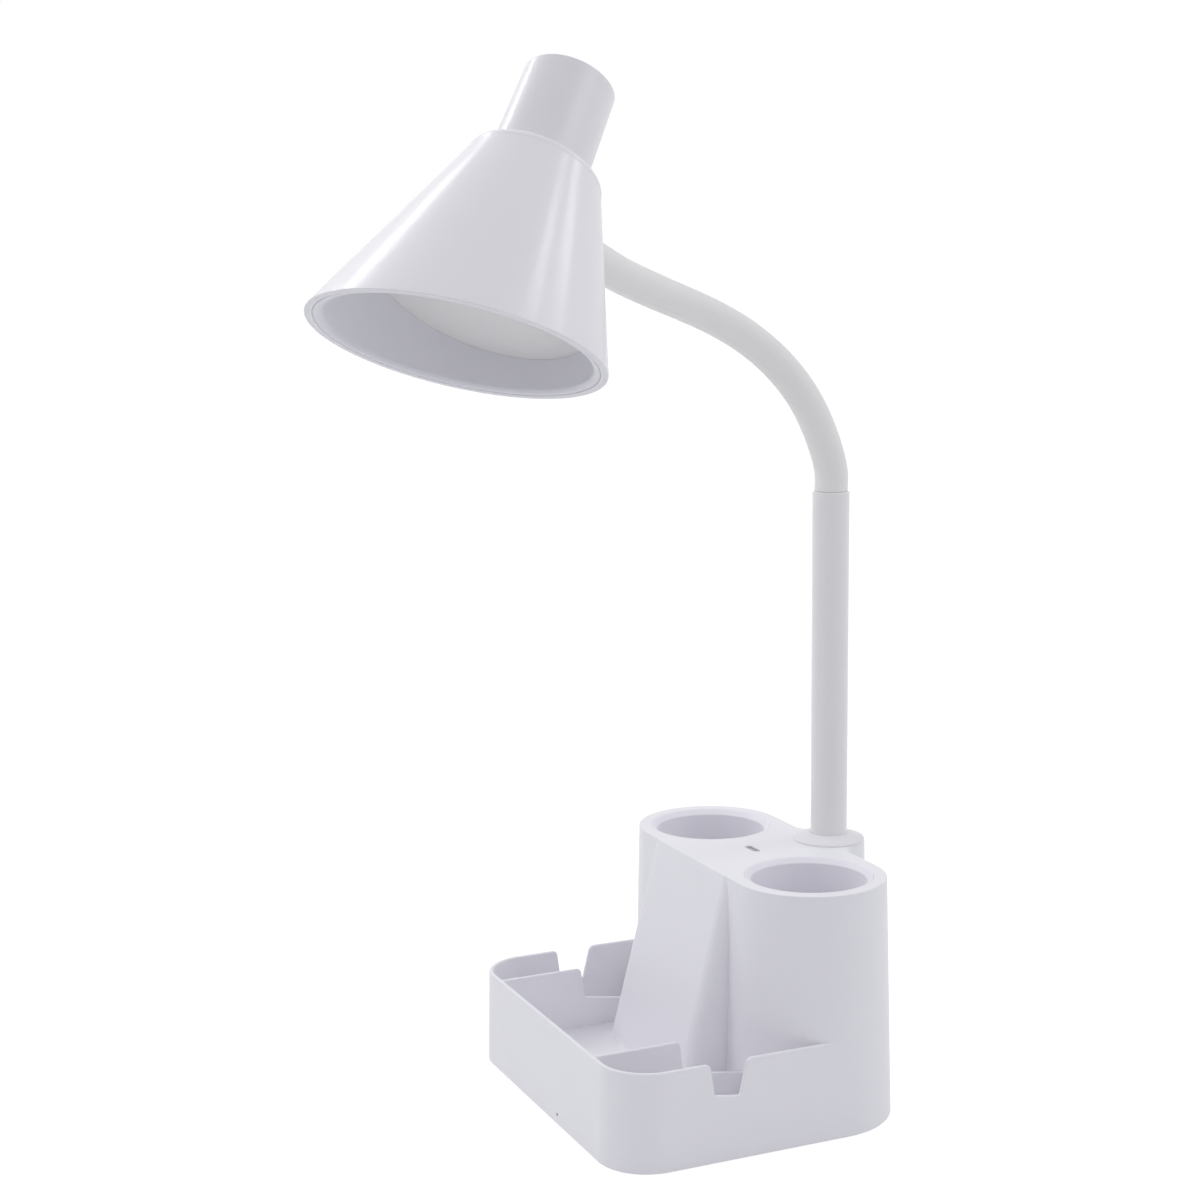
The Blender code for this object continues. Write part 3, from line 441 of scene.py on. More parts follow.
gloss_coat = {"spread": 0.012, "grain": 900.0, "bump": 0.02, "rough_spread": 0.03,
              "Coat_Weight": 0.30, "Coat_Roughness": 0.17}
satin_coat = {"Coat_Weight": 0.05, "Coat_Roughness": 0.3}
mats = {
    "housing": finish_material("satin_housing", (0.914, 0.909, 0.942), 0.46, bump=0.10,
                               **satin_coat),
    # The liner is bluer than the housing: partly its own tone, partly painted shade, the lavender
    # cast of the shade inside the pen cups.
    "liner": finish_material("satin_liner_with_painted_shade_tint", (0.955, 0.945, 1.0), 0.48, bump=0.08),
    "shade": finish_material("gloss_shade", (0.865, 0.859, 0.886), 0.42, **gloss_coat),
    # The cap is a slightly darker copy of the shade's gloss: painted shade, as the cap faces away
    # from the light.
    "cap": finish_material("gloss_cap_with_painted_shade", (0.830, 0.824, 0.850), 0.42, **gloss_coat),
    "lining": finish_material("satin_lining", (0.772, 0.769, 0.812), 0.38, spread=0.015),
    "pole": finish_material("painted_pole", (0.864, 0.864, 0.860), 0.36, spread=0.01,
                            grain=1600.0, bump=0.05, Coat_Weight=0.2, Coat_Roughness=0.3),
    "collar": finish_material("satin_collar", (0.885, 0.881, 0.900), 0.45, bump=0.06, **satin_coat),
    "sleeve": finish_material("soft_sleeve", (0.884, 0.881, 0.862), 0.52, spread=0.015,
                              grain=1800.0, bump=0.12, Sheen_Weight=0.05),
    "steel": finish_material("brushed_steel", (0.55, 0.56, 0.58), 0.32, bump=0.08, Metallic=1.0),
    "socket": finish_material("socket_steel", (0.72, 0.72, 0.74), 0.45, bump=0.05, Metallic=0.3),
    "nut": finish_material("plated_nut", (0.60, 0.60, 0.60), 0.28, bump=0.05, Metallic=1.0),
    "aluminium": finish_material("pressed_aluminium", (0.75, 0.76, 0.78), 0.34, bump=0.08,
                                 Metallic=1.0),
    "diffuser": finish_material("milky_diffuser", (0.820, 0.815, 0.800), 0.44, spread=0.01,
                                Subsurface_Weight=0.15, Subsurface_Scale=0.002),
    "reflector": finish_material("white_reflector", (0.85, 0.85, 0.85), 0.35),
    "board": finish_material("board_green", (0.04, 0.20, 0.11), 0.42, spread=0.08, bump=0.15),
    "led_board": finish_material("board_white", (0.80, 0.80, 0.78), 0.45, spread=0.03),
    "rubber": finish_material("foot_rubber_black", (0.035, 0.035, 0.038), 0.78, spread=0.10,
                              bump=0.35),
    "inlet": finish_material("inlet_black", (0.022, 0.022, 0.024), 0.42, spread=0.08, bump=0.10),
    "lens": finish_material("smoked_lens", (0.06, 0.06, 0.07), 0.15, spread=0.02, bump=0.01),
    "cable": finish_material("cable_black", (0.06, 0.06, 0.065), 0.55, spread=0.06, bump=0.15),
    "copper": finish_material("copper_pad", (0.72, 0.42, 0.26), 0.32, bump=0.06, Metallic=1.0),
}
cad_finishes = {
    "housing_plastic": "housing", "liner_plastic": "liner", "shade_gloss": "shade",
    "shade_lining_plastic": "lining", "pole_paint": "pole", "sleeve_rubber": "sleeve",
    "steel": "steel", "nut_steel": "nut", "aluminium": "aluminium", "diffuser_plastic": "diffuser",
    "reflector_white": "reflector", "circuit_board": "board", "led_board_white": "led_board",
    "foot_rubber": "rubber", "inlet_plastic": "inlet", "lens_plastic": "lens",
    "cable_jacket": "cable", "electrode_copper": "copper",
}
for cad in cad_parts.values():
    for held in cad.material_slots:
        base_name = held.material.name.split(".")[0]
        if base_name in cad_finishes:
            held.material = mats[cad_finishes[base_name]]


# Base housing

def shrink(height):
    """How far the draft draws an outer wall in at a height."""
    return height * math.tan(draft)


def rear_outline(inset):
    """From the right tower's outermost point round the back to the left one's."""
    radius = tower_radius - inset
    fillet = lobe_fillet + inset
    fillet_y = tower_radius + lobe_fillet
    reach = lobe_radius + lobe_fillet
    fillet_x = math.sqrt(reach ** 2 - (fillet_y - pole_y) ** 2)
    toward = math.atan2(fillet_y - pole_y, fillet_x)
    points = arc((cup_x, 0.0), radius, 0.0, right, cup_steps)
    points += arc((fillet_x, fillet_y), fillet, -right, toward - math.pi,
                  fillet_steps)
    lobe = arc((0.0, pole_y), lobe_radius - inset, toward, math.pi - toward, lobe_steps)
    points += lobe[1:-1]
    points += arc((-fillet_x, fillet_y), fillet, -toward, -right, fillet_steps)
    points += arc((-cup_x, 0.0), radius, right, math.pi, cup_steps)
    return points


def tower_outline(inset):
    """The closed outline of the two towers and the pole's lobe."""
    radius = tower_radius - inset
    points = rear_outline(inset)
    points += arc((-cup_x, 0.0), radius, math.pi, 3 * right, cup_steps)[1:]
    points += arc((cup_x, 0.0), radius, 3 * right, 4 * right, cup_steps)[:-1]
    return points


def tower_block():
    rings = []
    for inward, below in quarter(foot_round, 3)[::-1]:
        rings.append(level(tower_outline(inward + shrink(below)), below))
    rings.append(level(tower_outline(shrink(rim_height)), rim_height))
    for inward, below in quarter(top_round):
        height = base_height - below
        rings.append(level(tower_outline(inward + shrink(height)), height))
    return loft("housing", rings)


def wall_profile(front_flat, rear_flat, steps):
    """Heights along a side wall: (y, z, normal y, normal z), with the tablet slot in it."""
    front_top = (slot_front_top_y, rim_height)
    front_low = (slot_front_y, slot_line(slot_front_y))
    rear_low = (slot_rear_y, slot_line(slot_rear_y))
    rear_top = (slot_rear_top_y, rim_height)
    ahead = (slot_front_top_y - slot_front_round * 2, rim_height)
    behind = (slot_rear_top_y + slot_rear_round * 2, rim_height)
    points = [(front_flat + (ahead[0] - front_flat) * i / steps, rim_height) for i in range(steps)]
    points += rounded(ahead, front_top, front_low, slot_front_round, 6)
    points += rounded(front_top, front_low, rear_low, slot_inner_round, 4)
    points += rounded(front_low, rear_low, rear_top, slot_inner_round, 4)
    points += rounded(rear_low, rear_top, behind, slot_rear_round, 6)
    points += [(behind[0] + (rear_flat - behind[0]) * (i + 1) / steps, rim_height)
               for i in range(steps)]
    return with_normals(points)


def with_normals(points):
    """Adds to each point of an open line the normal on its left side."""
    made = []
    for i, point in enumerate(points):
        before = Vector(points[max(i - 1, 0)])
        after = Vector(points[min(i + 1, len(points) - 1)])
        here = Vector(point)
        first = (here - before).normalized() if i > 0 else (after - here).normalized()
        second = (after - here).normalized() if i < len(points) - 1 else first
        way = (first + second).normalized()
        stretch = 1.0 / max(math.cos(first.angle(second) / 2), 0.5) if first.length > 0.0 else 1.0
        made.append((point[0], point[1], -way.y * stretch, way.x * stretch))
    return made


def slot_line(y, drop=0.0):
    return slot_front_z - drop - (y - slot_front_y) * math.tan(slot_lean)


def tray_stations():
    """Along the tray's wall from the left rear round the front to the right rear.

    Each is (x, y, outward x, outward y, height, lean along the wall, lean up).
    """
    outer_x = cup_x + tower_radius
    corner_y = tray_corner - tray_front
    corner_x = outer_x - tray_corner
    rear = []
    radius = tower_radius - tuck
    for degrees in tray_end_turns:
        angle = math.radians(degrees)
        rear.append((cup_x + radius * math.cos(angle), radius * math.sin(angle),
                     math.cos(angle), math.sin(angle), rim_height, 0.0, 1.0))
    side = []
    for y, z, ny, nz in wall_profile(corner_y + wall_flat_ahead, -wall_flat_behind, 4)[::-1]:
        side.append((outer_x, y, 1.0, 0.0, z, ny, nz))
    corner = []
    for i in range(corner_steps + 1):
        angle = -right * i / corner_steps
        nx, ny = math.cos(angle), math.sin(angle)
        corner.append((corner_x + tray_corner * nx, corner_y + tray_corner * ny, nx, ny,
                       rim_height, 0.0, 1.0))
    half = rear + side + corner
    mirrored = [(-x, y, -nx, ny, z, sy, sz) for x, y, nx, ny, z, sy, sz in half]
    return mirrored + half[::-1]


def tray_ring(stations, depth, drop=rim_round, height=None):
    """One ring along the wall: depth in from its face, drop below its edge or at a height."""
    ring = []
    for x, y, nx, ny, top, sy, sz in stations:
        z = top - sz * drop if height is None else height
        inward = depth + shrink(z)
        ring.append((x - nx * inward, y - ny * inward - sy * drop, z))
    return ring


def tray_block():
    stations = tray_stations()
    rings = []
    for inward, below in quarter(foot_round, 3)[::-1]:
        rings.append(tray_ring(stations, inward, height=below))
    for inward, below in quarter(rim_round):
        rings.append(tray_ring(stations, inward, drop=below))
    for inward, below in quarter(rim_round)[::-1]:
        rings.append(tray_ring(stations, tray_wall - inward, drop=below))
    for inward, below in quarter(floor_round, 3):
        rings.append(tray_ring(stations, tray_wall + inward, height=tray_floor + below))
    return loft("tray", rings)


def wedge(name, front, half_in, top, bottom, edge, top_edge=0.0):
    """The leaning phone rest; front and half_in draw its faces inward for the hollow."""
    slope = (wedge_top_y - wedge_foot_y) / (base_height - tray_floor)
    flare = (wedge_foot_half - wedge_top_half) / (base_height - tray_floor)

    def ring(height, inset):
        fall = base_height - height
        half = wedge_top_half + fall * flare - half_in - inset
        y = wedge_top_y - fall * slope + front + inset
        outline = [(-half, wedge_back_y, 0.0), (-half, y, edge), (half, y, edge),
                   (half, wedge_back_y, 0.0)]
        return level(soften(outline, 10), height)

    rings = [ring(bottom, 0.0)]
    if top_edge > 0.0:
        for inward, below in quarter(top_edge):
            rings.append(ring(top - below, inward))
    else:
        rings.append(ring(top, 0.0))
    return loft(name, rings)


def inner_wall(name, side):
    """A low wall with rounded edges: layers of its outline, drawn in near both faces."""
    bottom = tray_floor - bite
    front_top = (slot_front_top_y, rim_height)
    low = (slot_front_y, slot_line(slot_front_y, ledge_drop))
    back = (-inner_wall_back, slot_line(-inner_wall_back, ledge_drop))
    ahead = (-inner_wall_front, rim_height)
    line = [ahead] + rounded(ahead, front_top, low, slot_front_round, 6)
    line += rounded(front_top, low, back, slot_inner_round, 4) + [back]
    line = with_normals(line)
    rings = []
    edge = quarter(inner_wall_round)
    layers = edge + [(inner_wall_thick - inward, below) for inward, below in edge[::-1]]
    for across, below in layers:
        x = side * (inner_wall_x + across)
        ring = [(x, y - ny * below, z - nz * below) for y, z, ny, nz in line]
        ring.append((x, ring[-1][1], bottom))
        ring.append((x, ring[0][1], bottom))
        rings.append(ring)
    return loft(name, rings)


def stadium(length, width, count=12):
    radius = width / 2
    reach = (length - width) / 2
    points = arc((reach, 0.0), radius, -right, right, count)
    return points + arc((-reach, 0.0), radius, right, 3 * right, count)


def hole(name, profile, steps, place):
    """A turned cutter: profile runs from the bottom up as (radius, height)."""
    points = [(0.0, profile[0][1]), *profile, (0.0, profile[-1][1])]
    return turned(name, points, steps, place)


def at_socket(points):
    """Moves an outline from the origin to the charging socket's place."""
    return [(x + socket_x, y + socket_y) for x, y in points]


def make_housing():
    housing = tower_block()
    embed = tray_floor - bite
    parts = [tray_block(),
             wedge("wedge", 0.0, 0.0, base_height, embed, wedge_edge, top_round),
             inner_wall("wall_right", 1.0), inner_wall("wall_left", -1.0)]
    combine(housing, parts, "UNION")
    low_roof = tray_floor - floor_thick
    roof = base_height - plate_thick
    top = base_height + over
    cuts = [skirt_cutter(low_roof)]
    first = tower_wall + shrink(cavity_start)
    last = tower_wall + shrink(roof)
    cuts.append(loft("cut_tower", [level(tower_outline(first), cavity_start),
                                   level(tower_outline(last), roof)]))
    cuts.append(wedge("cut_wedge", wedge_wall, wedge_wall, base_height - wedge_roof,
                      low_roof - bite, wedge_edge - wedge_wall))
    shelf = base_height - liner_flange_thick - gap
    bore = cup_bore + liner_wall + gap
    seat = liner_flange + gap
    profile = [(bore, roof - over), (bore, shelf), (seat, shelf), (seat, base_height - seam),
               (seat + seam, base_height), (seat + seam, top)]
    for label, x in (("right", cup_x), ("left", -cup_x)):
        cuts.append(hole("cut_cup_" + label, profile, cup_segments, shift(x, 0.0)))
    profile = [(pole_radius + gap, roof - over), (pole_radius + gap, top)]
    cuts.append(hole("cut_pole", profile, pole_hole_segments, shift(0.0, pole_y)))
    mouth = at_socket(stadium(slot_length, slot_width))
    flared = at_socket(stadium(slot_length + mouth_flare, slot_width + mouth_flare))
    cuts.append(loft("cut_socket", [level(mouth, roof - over),
                                    level(mouth, base_height - mouth_depth),
                                    level(flared, base_height), level(flared, top)]))
    inward = Matrix.Rotation(-right, 4, "X")
    profile = [(lens_radius + gap, -over), (lens_radius + gap, tray_wall + over * 2)]
    cuts.append(hole("cut_lens", profile, lens_segments,
                     shift(lens_x, -tray_front, lens_z) @ inward))
    inward = Matrix.Rotation(right, 4, "X")
    profile = [(inlet_radius + gap, -over), (inlet_radius + gap, tower_wall * 2)]
    cuts.append(hole("cut_inlet", profile, inlet_segments,
                     shift(inlet_x, tower_radius, inlet_z) @ inward))
    combine(housing, cuts)
    dress(housing, "base", "housing", ["base_housing"], housing_crease)


def skirt_cutter(low_roof):
    """The hollow inside the skirt, above the bottom cover."""
    outer_x = cup_x + tower_radius
    corner_y = tray_corner - tray_front
    corner_x = outer_x - tray_corner

    def outline(inset):
        radius = tray_corner - inset
        points = rear_outline(inset)
        points += arc((-corner_x, corner_y), radius, math.pi, 3 * right, corner_steps)
        points += arc((corner_x, corner_y), radius, 3 * right, 4 * right, corner_steps)
        return points

    low = outline(skirt_wall)
    high = outline(skirt_wall + shrink(low_roof))
    return loft("cut_lower", [level(low, -over), level(high, low_roof)])


def make_liner(name, x, node_name):
    top = base_height
    under = top - liner_flange_thick
    outer = cup_bore + liner_wall
    outer_low = cup_bottom_bore + liner_wall
    floor_top = liner_floor + liner_floor_thick
    edge = liner_flange + gap - seam
    profile = [(0.0, floor_top)]
    profile += arc((cup_bottom_bore - liner_floor_round, floor_top + liner_floor_round),
                   liner_floor_round, 3 * right, 4 * right, 6)
    lip_low = (cup_bore, top - cup_lip)
    lip_high = (cup_bore + cup_lip, top)
    profile += rounded((cup_bottom_bore, floor_top), lip_low, lip_high, lip_low_round, 5)
    profile += rounded(lip_low, lip_high, (edge, top), lip_high_round, 6)
    profile += rounded(lip_high, (edge, top), (edge, under), seam, 3)
    profile += [(edge, under), (outer, under), (outer_low, liner_floor), (0.0, liner_floor)]
    liner = turned(name, profile, cup_segments, shift(x, 0.0))
    dress(liner, "base", "liner", [node_name])


def make_socket():
    low = base_height - socket_sunk - socket_depth
    high = base_height - socket_sunk
    outer = at_socket(stadium(socket_length, socket_width))
    inner = at_socket(stadium(socket_length - socket_shell * 2, socket_width - socket_shell * 2))
    shell = loft("socket_shell", [level(outer, low), level(outer, high), level(inner, high),
                                  level(inner, low + over)])
    half_x = tongue_length / 2
    half_y = tongue_thick / 2
    corners = ((-half_x, -half_y), (half_x, -half_y), (half_x, half_y), (-half_x, half_y))
    outline = at_socket(soften([(x, y, tongue_round) for x, y in corners], 3))
    tongue_high = high - tongue_sunk + socket_sunk
    tongue = loft("socket_tongue", [level(outline, low + over / 2), level(outline, tongue_high)])
    combine(shell, [tongue], "UNION")
    dress(shell, "base", "socket", ["usb_c_socket"])


def make_pole():
    top = base_height + seat_gap
    bore = pole_radius + seat_gap
    rise = base_height + collar_rise
    edge = top + collar_edge
    profile = soften([(bore, rise, 0.0), (pole_radius + collar_edge, rise, collar_top_round),
                      (collar_radius - collar_round, edge, collar_shoulder_round),
                      (collar_radius, edge - collar_round, collar_side_round),
                      (collar_radius, top, 0.0), (bore, top, 0.0)])
    collar = turned("collar_ring", profile, collar_segments, shift(0.0, pole_y))
    dress(collar, "base", "collar", ["collar"])
    low = base_height - plate_thick - pole_below
    profile = soften([(pole_bore, pole_top, pole_bore_round),
                      (pole_radius, pole_top, pole_chamfer),
                      (pole_radius, low, 0.0), (pole_bore, low, 0.0)])
    pole = turned("pole", profile, pole_segments, shift(0.0, pole_y))
    dress(pole, "base", "pole", ["pole_tube"])


# Neck and head placing

def heading(lean, swing):
    """A link's direction: its lean from upright, towards the front swung to the side."""
    return Vector((math.sin(lean) * math.sin(swing), -math.sin(lean) * math.cos(swing),
                   math.cos(lean)))


def rim_point(angle, inset):
    """A point on the rim in the head's frame: -Y is forward, +Z is the shade's axis."""
    forward = math.cos(angle) * (rim_radius - inset)
    side = math.sin(angle) * (rim_radius - inset)
    return Vector((side, -rim_shift - forward * math.cos(rim_tip), -forward * math.sin(rim_tip)))


def top_point(angle, inset):
    radius = shade_top_radius - inset
    return Vector((math.sin(angle) * radius, -math.cos(angle) * radius, shade_length))


head_turn = Euler((-head_tilt, 0.0, head_yaw), "XYZ").to_matrix()
neck_spot = rim_point(math.pi, 0.0).lerp(top_point(math.pi, 0.0), neck_share)
wall_way = (top_point(math.pi, 0.0) - rim_point(math.pi, 0.0)).normalized()
last_heading = head_turn @ -Vector((0.0, wall_way.z, -wall_way.y))
pole_end = Vector((0.0, pole_y, pole_top))
joints = [pole_end + Vector((0.0, 0.0, neck_first))]
headings = [Vector((0.0, 0.0, 1.0))]
for lean_deg, swing_deg in zip(link_leans, link_swings):
    way = heading(math.radians(lean_deg), math.radians(swing_deg))
    headings.append(way)
    joints.append(joints[-1] + way * neck_pitch)
headings.append(last_heading)
neck_end = joints[-1] + last_heading * neck_last
head_place = neck_end - head_turn @ neck_spot
lift = Vector((0.0, 0.0, foot_height))
head_frame = Matrix.Translation(head_place + lift) @ head_turn.to_4x4()


def neck_line():
    """The pole's end, the joints and the shade's wall, and the neck's direction at each."""
    knots = [pole_end, *joints, neck_end]
    ways = [headings[0]]
    for before, after in zip(headings, headings[1:]):
        ways.append((before + after).normalized())
    ways.append(headings[-1])
    return knots, ways


def neck_point(place):
    """Point and direction of the smooth line at a place: whole numbers are the knots."""
    knots, ways = neck_line()
    span = min(int(place), len(knots) - 2)
    t = place - span
    start = knots[span]
    end = knots[span + 1]
    length = (end - start).length
    first = ways[span] * length
    second = ways[span + 1] * length
    point = (start * (2 * t ** 3 - 3 * t ** 2 + 1) + first * (t ** 3 - 2 * t ** 2 + t)
             + end * (3 * t ** 2 - 2 * t ** 3) + second * (t ** 3 - t ** 2))
    way = (start * (6 * t ** 2 - 6 * t) + first * (3 * t ** 2 - 4 * t + 1)
           + end * (6 * t - 6 * t ** 2) + second * (3 * t ** 2 - 2 * t))
    return point, way.normalized()


def neck_axes(way):
    """Two directions square to the neck: one level to the side, one across it."""
    side = Vector((1.0, 0.0, 0.0))
    side = (side - way * side.dot(way)).normalized()
    return side, way.cross(side)


def neck_tube(name, stops, radii):
    """A tube through points with directions, with its bore, closed at both ends."""
    turns = [full * i / neck_segments for i in range(neck_segments)]
    outer = []
    inner = []
    for (point, way), radius in zip(stops, radii):
        side, up = neck_axes(way)
        outs = [side * math.cos(turn) + up * math.sin(turn) for turn in turns]
        outer.append([point + out * radius for out in outs])
        inner.append([point + out * neck_bore for out in outs])
    return loft(name, outer + inner[::-1], closed=True)


def make_neck():
    """One piece per joint, from the middle of one link to the middle of the next."""
    bends = len(joints)
    for number in range(1, bends + 1):
        low = 0.0 if number == 1 else number - 0.5
        high = number + 0.5
        places = [low, low + end_step]
        places += [low + (high - low) * i / neck_rows for i in range(1, neck_rows)]
        places += [high - end_step, high]
        radii = [neck_radius] * len(places)
        if number == 1:
            places = [*neck_start_places, *places[2:]]
            radii = [neck_radius - inset for inset in neck_start_insets] + radii[2:]
        piece = neck_tube("neck_bend_%02d" % number, [neck_point(p) for p in places], radii)
        dress(piece, None, "sleeve", ["neck_sleeve_%02d" % number])
        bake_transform(piece)
    piece = neck_flare(bends + 0.5, bends + 1.0)
    dress(piece, "head", "sleeve", ["neck_sleeve_11"])


def neck_flare(start, end):
    """The neck's last stretch, widening upwards and sunk a little into the shade's wall."""
    flare_start = end - flare_length / neck_last
    places = [start + (end - start) * i / flare_rows for i in range(flare_rows + 1)]
    shares = [max((place - flare_start) / (end - flare_start), 0.0) ** 2 for place in places]
    places.insert(1, start + end_step)
    shares.insert(1, 0.0)
    stops = [neck_point(place) for place in places]
    stops.append((neck_end + last_heading * flare_sunk, last_heading))
    shares.append(shares[-1])
    lifted = []
    radii = []
    for (point, way), share in zip(stops, shares):
        up = neck_axes(way)[1]
        lifted.append((point + (up if up.z > 0.0 else -up) * (flare_rise * share), way))
        radii.append(neck_radius + (flare_radius - neck_radius) * share)
    return neck_tube("neck_flare", lifted, radii)


# Head

def shade_line(share, rim_inset, top_inset):
    """A ring on the shade's wall, at a share of the way from its rim to its top."""
    points = []
    for i in range(shade_steps):
        angle = full * i / shade_steps
        points.append(rim_point(angle, rim_inset).lerp(top_point(angle, top_inset), share))
    return points


def shade_section(height, rim_inset, top_inset):
    """The shade's level section at a height on its axis, drawn in by the insets."""
    points = []
    for i in range(shade_steps):
        angle = full * i / shade_steps
        low = rim_point(angle, rim_inset)
        high = top_point(angle, top_inset)
        points.append(low.lerp(high, (height - low.z) / (high.z - low.z)))
    return points


def circle(radius, height):
    points = []
    for i in range(shade_steps):
        angle = full * i / shade_steps
        points.append((math.sin(angle) * radius, -math.cos(angle) * radius, height))
    return points


def make_shade():
    """The shade, with the flat band of its rim in the lining's darker finish: partly the lip's own
    tone, partly painted shade on that downward-facing band.
    """
    slant = (rim_radius - shade_top_radius) / shade_length
    near_top = 1.0 - shade_round / shade_length
    rings = []
    for inward, below in quarter(edge_round)[::-1]:
        rings.append(shade_line(below / shade_length, inward, inward))
    for i in range(1, shade_rows + 1):
        rings.append(shade_line(near_top * i / shade_rows, 0.0, 0.0))
    turn = right - math.atan(slant)
    for i in range(1, shoulder_rows + 1):
        angle = turn * i / shoulder_rows
        radius = shade_top_radius + slant * shade_round
        radius -= shade_round * (1.0 - math.cos(angle))
        height = shade_length - shade_round * (1.0 - math.sin(angle) / math.sin(turn))
        rings.append(circle(radius, height))
    rings.append(circle(spigot_radius, shade_length))
    rings.append(circle(spigot_radius, shade_length + spigot_height))
    rings.append(circle(spigot_bore, shade_length + spigot_height))
    roof = shade_length - shade_roof
    rings.append(circle(spigot_bore, roof))
    rings.append(shade_section(roof, rim_band, shade_wall))
    for inward, below in quarter(groove_round):
        rings.append(shade_line(below / shade_length, rim_band - inward, shade_wall - inward))
    shell = loft("shade", rings, closed=True, place=head_frame)
    dress(shell, "head", "shade", ["shade_shell"])
    # Painted shade: the rim's flat band, which faces down and away from the light, takes the
    # lining's darker finish.
    shell.data.materials.append(mats["lining"])
    rim_way = Vector((0.0, -math.sin(rim_tip), math.cos(rim_tip)))
    home = head_frame.inverted()
    for face in shell.data.polygons:
        spot = home @ face.center + Vector((0.0, rim_shift, 0.0))
        if abs(spot.dot(rim_way)) < flat_limit:
            face.material_index = 1


def make_lining():
    """The lining, with a step, a flat lip and a wide rounding inwards, and the diffuser."""
    outer = rim_band + lining_gap
    outer_top = shade_wall + lining_gap
    top = diffuser_height - disc_gap
    rings = [shade_section(top, outer, outer_top),
             shade_section(top, outer + lining_wall, outer_top + lining_wall)]

    def edge_ring(across, depth):
        return shade_line(depth / shade_length, outer + across, outer_top + across)

    for inward, below in quarter(lip_round, 8):
        rings.append(edge_ring(lip_width - inward, lip_sunk + below))
    for inward, below in quarter(lip_edge, 4)[::-1]:
        rings.append(edge_ring(step_width + inward, lip_sunk + below))
    rings.append(edge_ring(step_width, step_depth))
    rings.append(edge_ring(0.0, step_depth))
    lining = loft("lining", rings, closed=True, place=head_frame)
    dress(lining, "head", "lining", ["shade_lining"])
    high = diffuser_height + diffuser_thick
    rings = []
    for inward, below in quarter(edge_round, 4)[::-1]:
        rings.append(shade_section(diffuser_height + below, outer + inward, outer_top + inward))
    rings.append(shade_section(high, outer, outer_top))
    disc = loft("diffuser_disc", rings, place=head_frame)
    dress(disc, "head", "diffuser", ["diffuser"])


def make_cap():
    """The cap: a closed top over a slightly tapered wall."""
    centre = (0.0, cap_length)
    top_edge = (cap_top_radius, cap_length)
    low_edge = (cap_low_radius, gap)
    low_inner = (cap_low_radius - cap_wall, gap)
    profile = [centre]
    profile += rounded(centre, top_edge, low_edge, cap_round, 6)
    profile += rounded(top_edge, low_edge, low_inner, cap_low_round, 3)
    profile += [low_inner, (cap_top_radius - cap_wall, cap_length - cap_wall),
                (0.0, cap_length - cap_wall)]
    place = head_frame @ Matrix.Translation((0.0, 0.0, shade_length))
    cap = turned("cap", profile, cup_segments, place)
    dress(cap, "head", "cap", ["head_cap"])


make_housing()
make_liner("cup_right", cup_x, "pen_cup_liner_right")
make_liner("cup_left", -cup_x, "pen_cup_liner_left")
make_socket()
make_pole()
make_neck()
make_shade()
make_lining()
make_cap()


# Camera, fitted to the photograph's perspective

camera_turns = (66.157, 8.959, -0.583)
camera_spot = (0.871884, -0.466504, 0.388483)
photo_pixels = 1200.0
focal_pixels = 2122.665
sensor_width = 36.0
clip_start = 0.05


def make_camera():
    azimuth, elevation, roll = (math.radians(turn) for turn in camera_turns)
    back = Vector((math.sin(azimuth) * math.cos(elevation),
                   -math.cos(azimuth) * math.cos(elevation), math.sin(elevation)))
    across = Vector((math.cos(azimuth), math.sin(azimuth), 0.0))
    up = back.cross(across)
    rolled = math.cos(roll) * across + math.sin(roll) * up
    rolled_up = -math.sin(roll) * across + math.cos(roll) * up
    data = bpy.data.cameras.new("camera")
    data.sensor_width = sensor_width
    data.lens = focal_pixels / photo_pixels * data.sensor_width
    data.clip_start = clip_start
    camera = bpy.data.objects.new("camera", data)
    bpy.context.scene.collection.objects.link(camera)
    place = Matrix((rolled, rolled_up, back)).transposed().to_4x4()
    place.translation = Vector(camera_spot) + lift
    camera.matrix_world = place
    bpy.context.scene.camera = camera


# White studio: the background and the floor look white, and light the lamp more softly

ambient = 0.49
ambient_tint = (0.97, 0.97, 1.045)
floor_half = 60.0
floor_tone = 0.88
floor_rough = 0.9
floor_gloss = 0.1
floor_glow = 1.2
floor_glow_share = 0.82
lamp_aim = (0.03, -0.08, 0.27)
shade_aim = (0.09, -0.19, 0.41)


def bright_rays(tree, rays):
    """1 for the rays that see the white background: camera, glossy and transmission rays."""
    first = node(tree, "ShaderNodeMath", operation="MAXIMUM")
    second = node(tree, "ShaderNodeMath", operation="MAXIMUM")
    tree.links.new(rays.outputs["Is Camera Ray"], first.inputs[0])
    tree.links.new(rays.outputs["Is Glossy Ray"], first.inputs[1])
    tree.links.new(first.outputs[0], second.inputs[0])
    tree.links.new(rays.outputs["Is Transmission Ray"], second.inputs[1])
    return second.outputs[0]


def make_world():
    """White where it is seen, and a weaker, slightly cool light on what it lights."""
    world = bpy.data.worlds.new("studio")
    bpy.context.scene.world = world
    world.use_nodes = True
    tree = world.node_tree
    sky = tree.nodes["Background"]
    rays = node(tree, "ShaderNodeLightPath")
    seen = bright_rays(tree, rays)
    tint = node(tree, "ShaderNodeMix", data_type="RGBA")
    tint.inputs[mix_low].default_value = (*ambient_tint, 1.0)
    tint.inputs[mix_high].default_value = (1.0, 1.0, 1.0, 1.0)
    tree.links.new(seen, tint.inputs[0])
    tree.links.new(tint.outputs[mix_out], sky.inputs["Color"])
    strength = node(tree, "ShaderNodeMapRange")
    strength.inputs["To Min"].default_value = ambient
    strength.inputs["To Max"].default_value = 1.0
    tree.links.new(seen, strength.inputs["Value"])
    tree.links.new(strength.outputs["Result"], sky.inputs["Strength"])


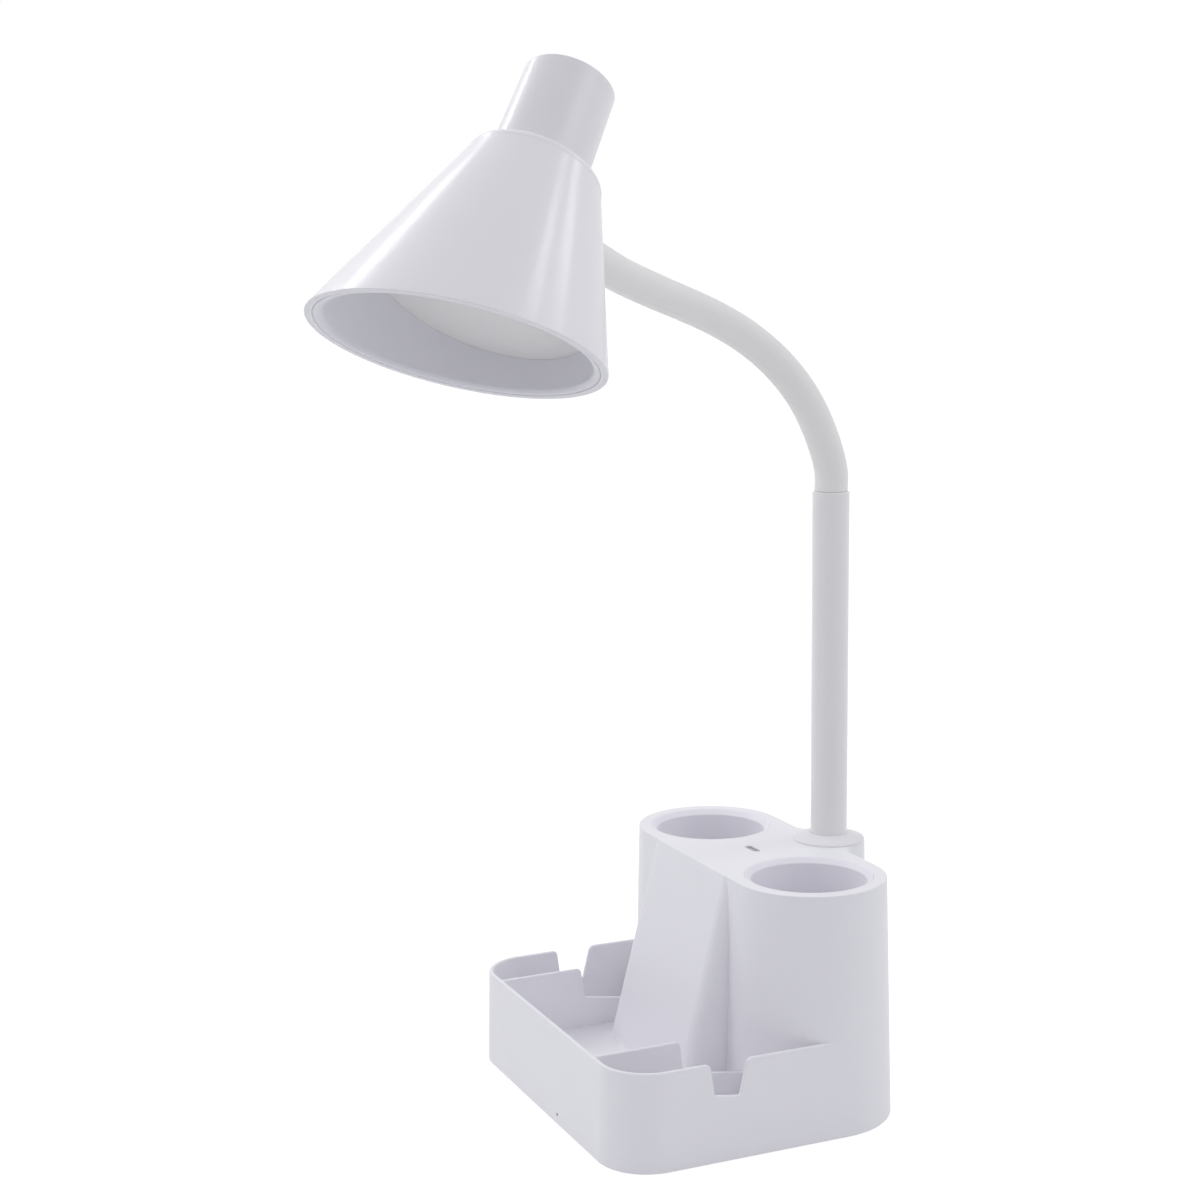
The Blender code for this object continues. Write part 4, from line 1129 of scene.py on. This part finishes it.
def make_floor():
    """A pale floor that reads as white to the camera and keeps a faint shadow."""
    half = floor_half
    verts = [(-half, -half, 0.0), (half, -half, 0.0), (half, half, 0.0), (-half, half, 0.0)]
    floor = build("floor", verts, [(0, 1, 2, 3)], Matrix.Identity(4))
    mat = bpy.data.materials.new("floor_paper")
    mat.use_nodes = True
    tree = mat.node_tree
    paper = tree.nodes["Principled BSDF"]
    paper.inputs["Base Color"].default_value = (floor_tone, floor_tone, floor_tone, 1.0)
    paper.inputs["Roughness"].default_value = floor_rough
    paper.inputs["Specular IOR Level"].default_value = floor_gloss
    glow = node(tree, "ShaderNodeEmission", Strength=floor_glow)
    mix = node(tree, "ShaderNodeMixShader")
    rays = node(tree, "ShaderNodeLightPath")
    share = node(tree, "ShaderNodeMath", operation="MULTIPLY")
    share.inputs[1].default_value = floor_glow_share
    tree.links.new(bright_rays(tree, rays), share.inputs[0])
    tree.links.new(share.outputs[0], mix.inputs["Fac"])
    tree.links.new(paper.outputs["BSDF"], mix.inputs[1])
    tree.links.new(glow.outputs["Emission"], mix.inputs[2])
    tree.links.new(mix.outputs["Shader"], tree.nodes["Material Output"].inputs["Surface"])
    floor.data.materials.append(mat)


def make_lamp(name, way, distance, size, power, shine=False, aim=lamp_aim):
    """A soft box that faces the lamp from a direction; shine lets it show in the gloss."""
    data = bpy.data.lights.new(name, "AREA")
    data.shape = "RECTANGLE"
    data.size, data.size_y = size
    data.energy = power
    lamp = bpy.data.objects.new(name, data)
    bpy.context.scene.collection.objects.link(lamp)
    way = Vector(way).normalized()
    lamp.rotation_mode = "QUATERNION"
    lamp.rotation_quaternion = (-way).to_track_quat("-Z", "Y")
    lamp.location = Vector(aim) + way * distance
    lamp.visible_glossy = shine


make_camera()
make_world()
make_floor()
make_lamp("front", (-0.45, -0.85, 0.75), distance=2.2, size=(1.2, 1.2), power=9.5)
make_lamp("top", (-0.2, 0.15, 1.0), distance=2.0, size=(1.6, 1.6), power=2.7)
make_lamp("side", (0.9, 0.25, 0.35), distance=2.2, size=(1.2, 1.2), power=2.5)
make_lamp("behind", (0.2, 1.0, 0.8), distance=2.2, size=(1.2, 1.2), power=3.2)
for name, way, size, power in (("streak_left", (-0.80, -0.07, 0.60), (0.24, 0.24), 1.1),
                               ("streak_cap", (-0.83, -0.25, 0.51), (0.16, 0.20), 2.2),
                               ("streak_right", (0.03, 0.71, 0.70), (0.12, 0.16), 0.6),
                               ("streak_edge", (-0.09, 0.85, 0.52), (0.16, 0.22), 0.75),
                               ("glow_cap", (0.50, 0.65, 0.58), (0.60, 0.60), 1.5)):
    make_lamp(name, way, distance=1.6, size=size, power=power, shine=True, aim=shade_aim)
bpy.context.scene.view_settings.view_transform = "Standard"
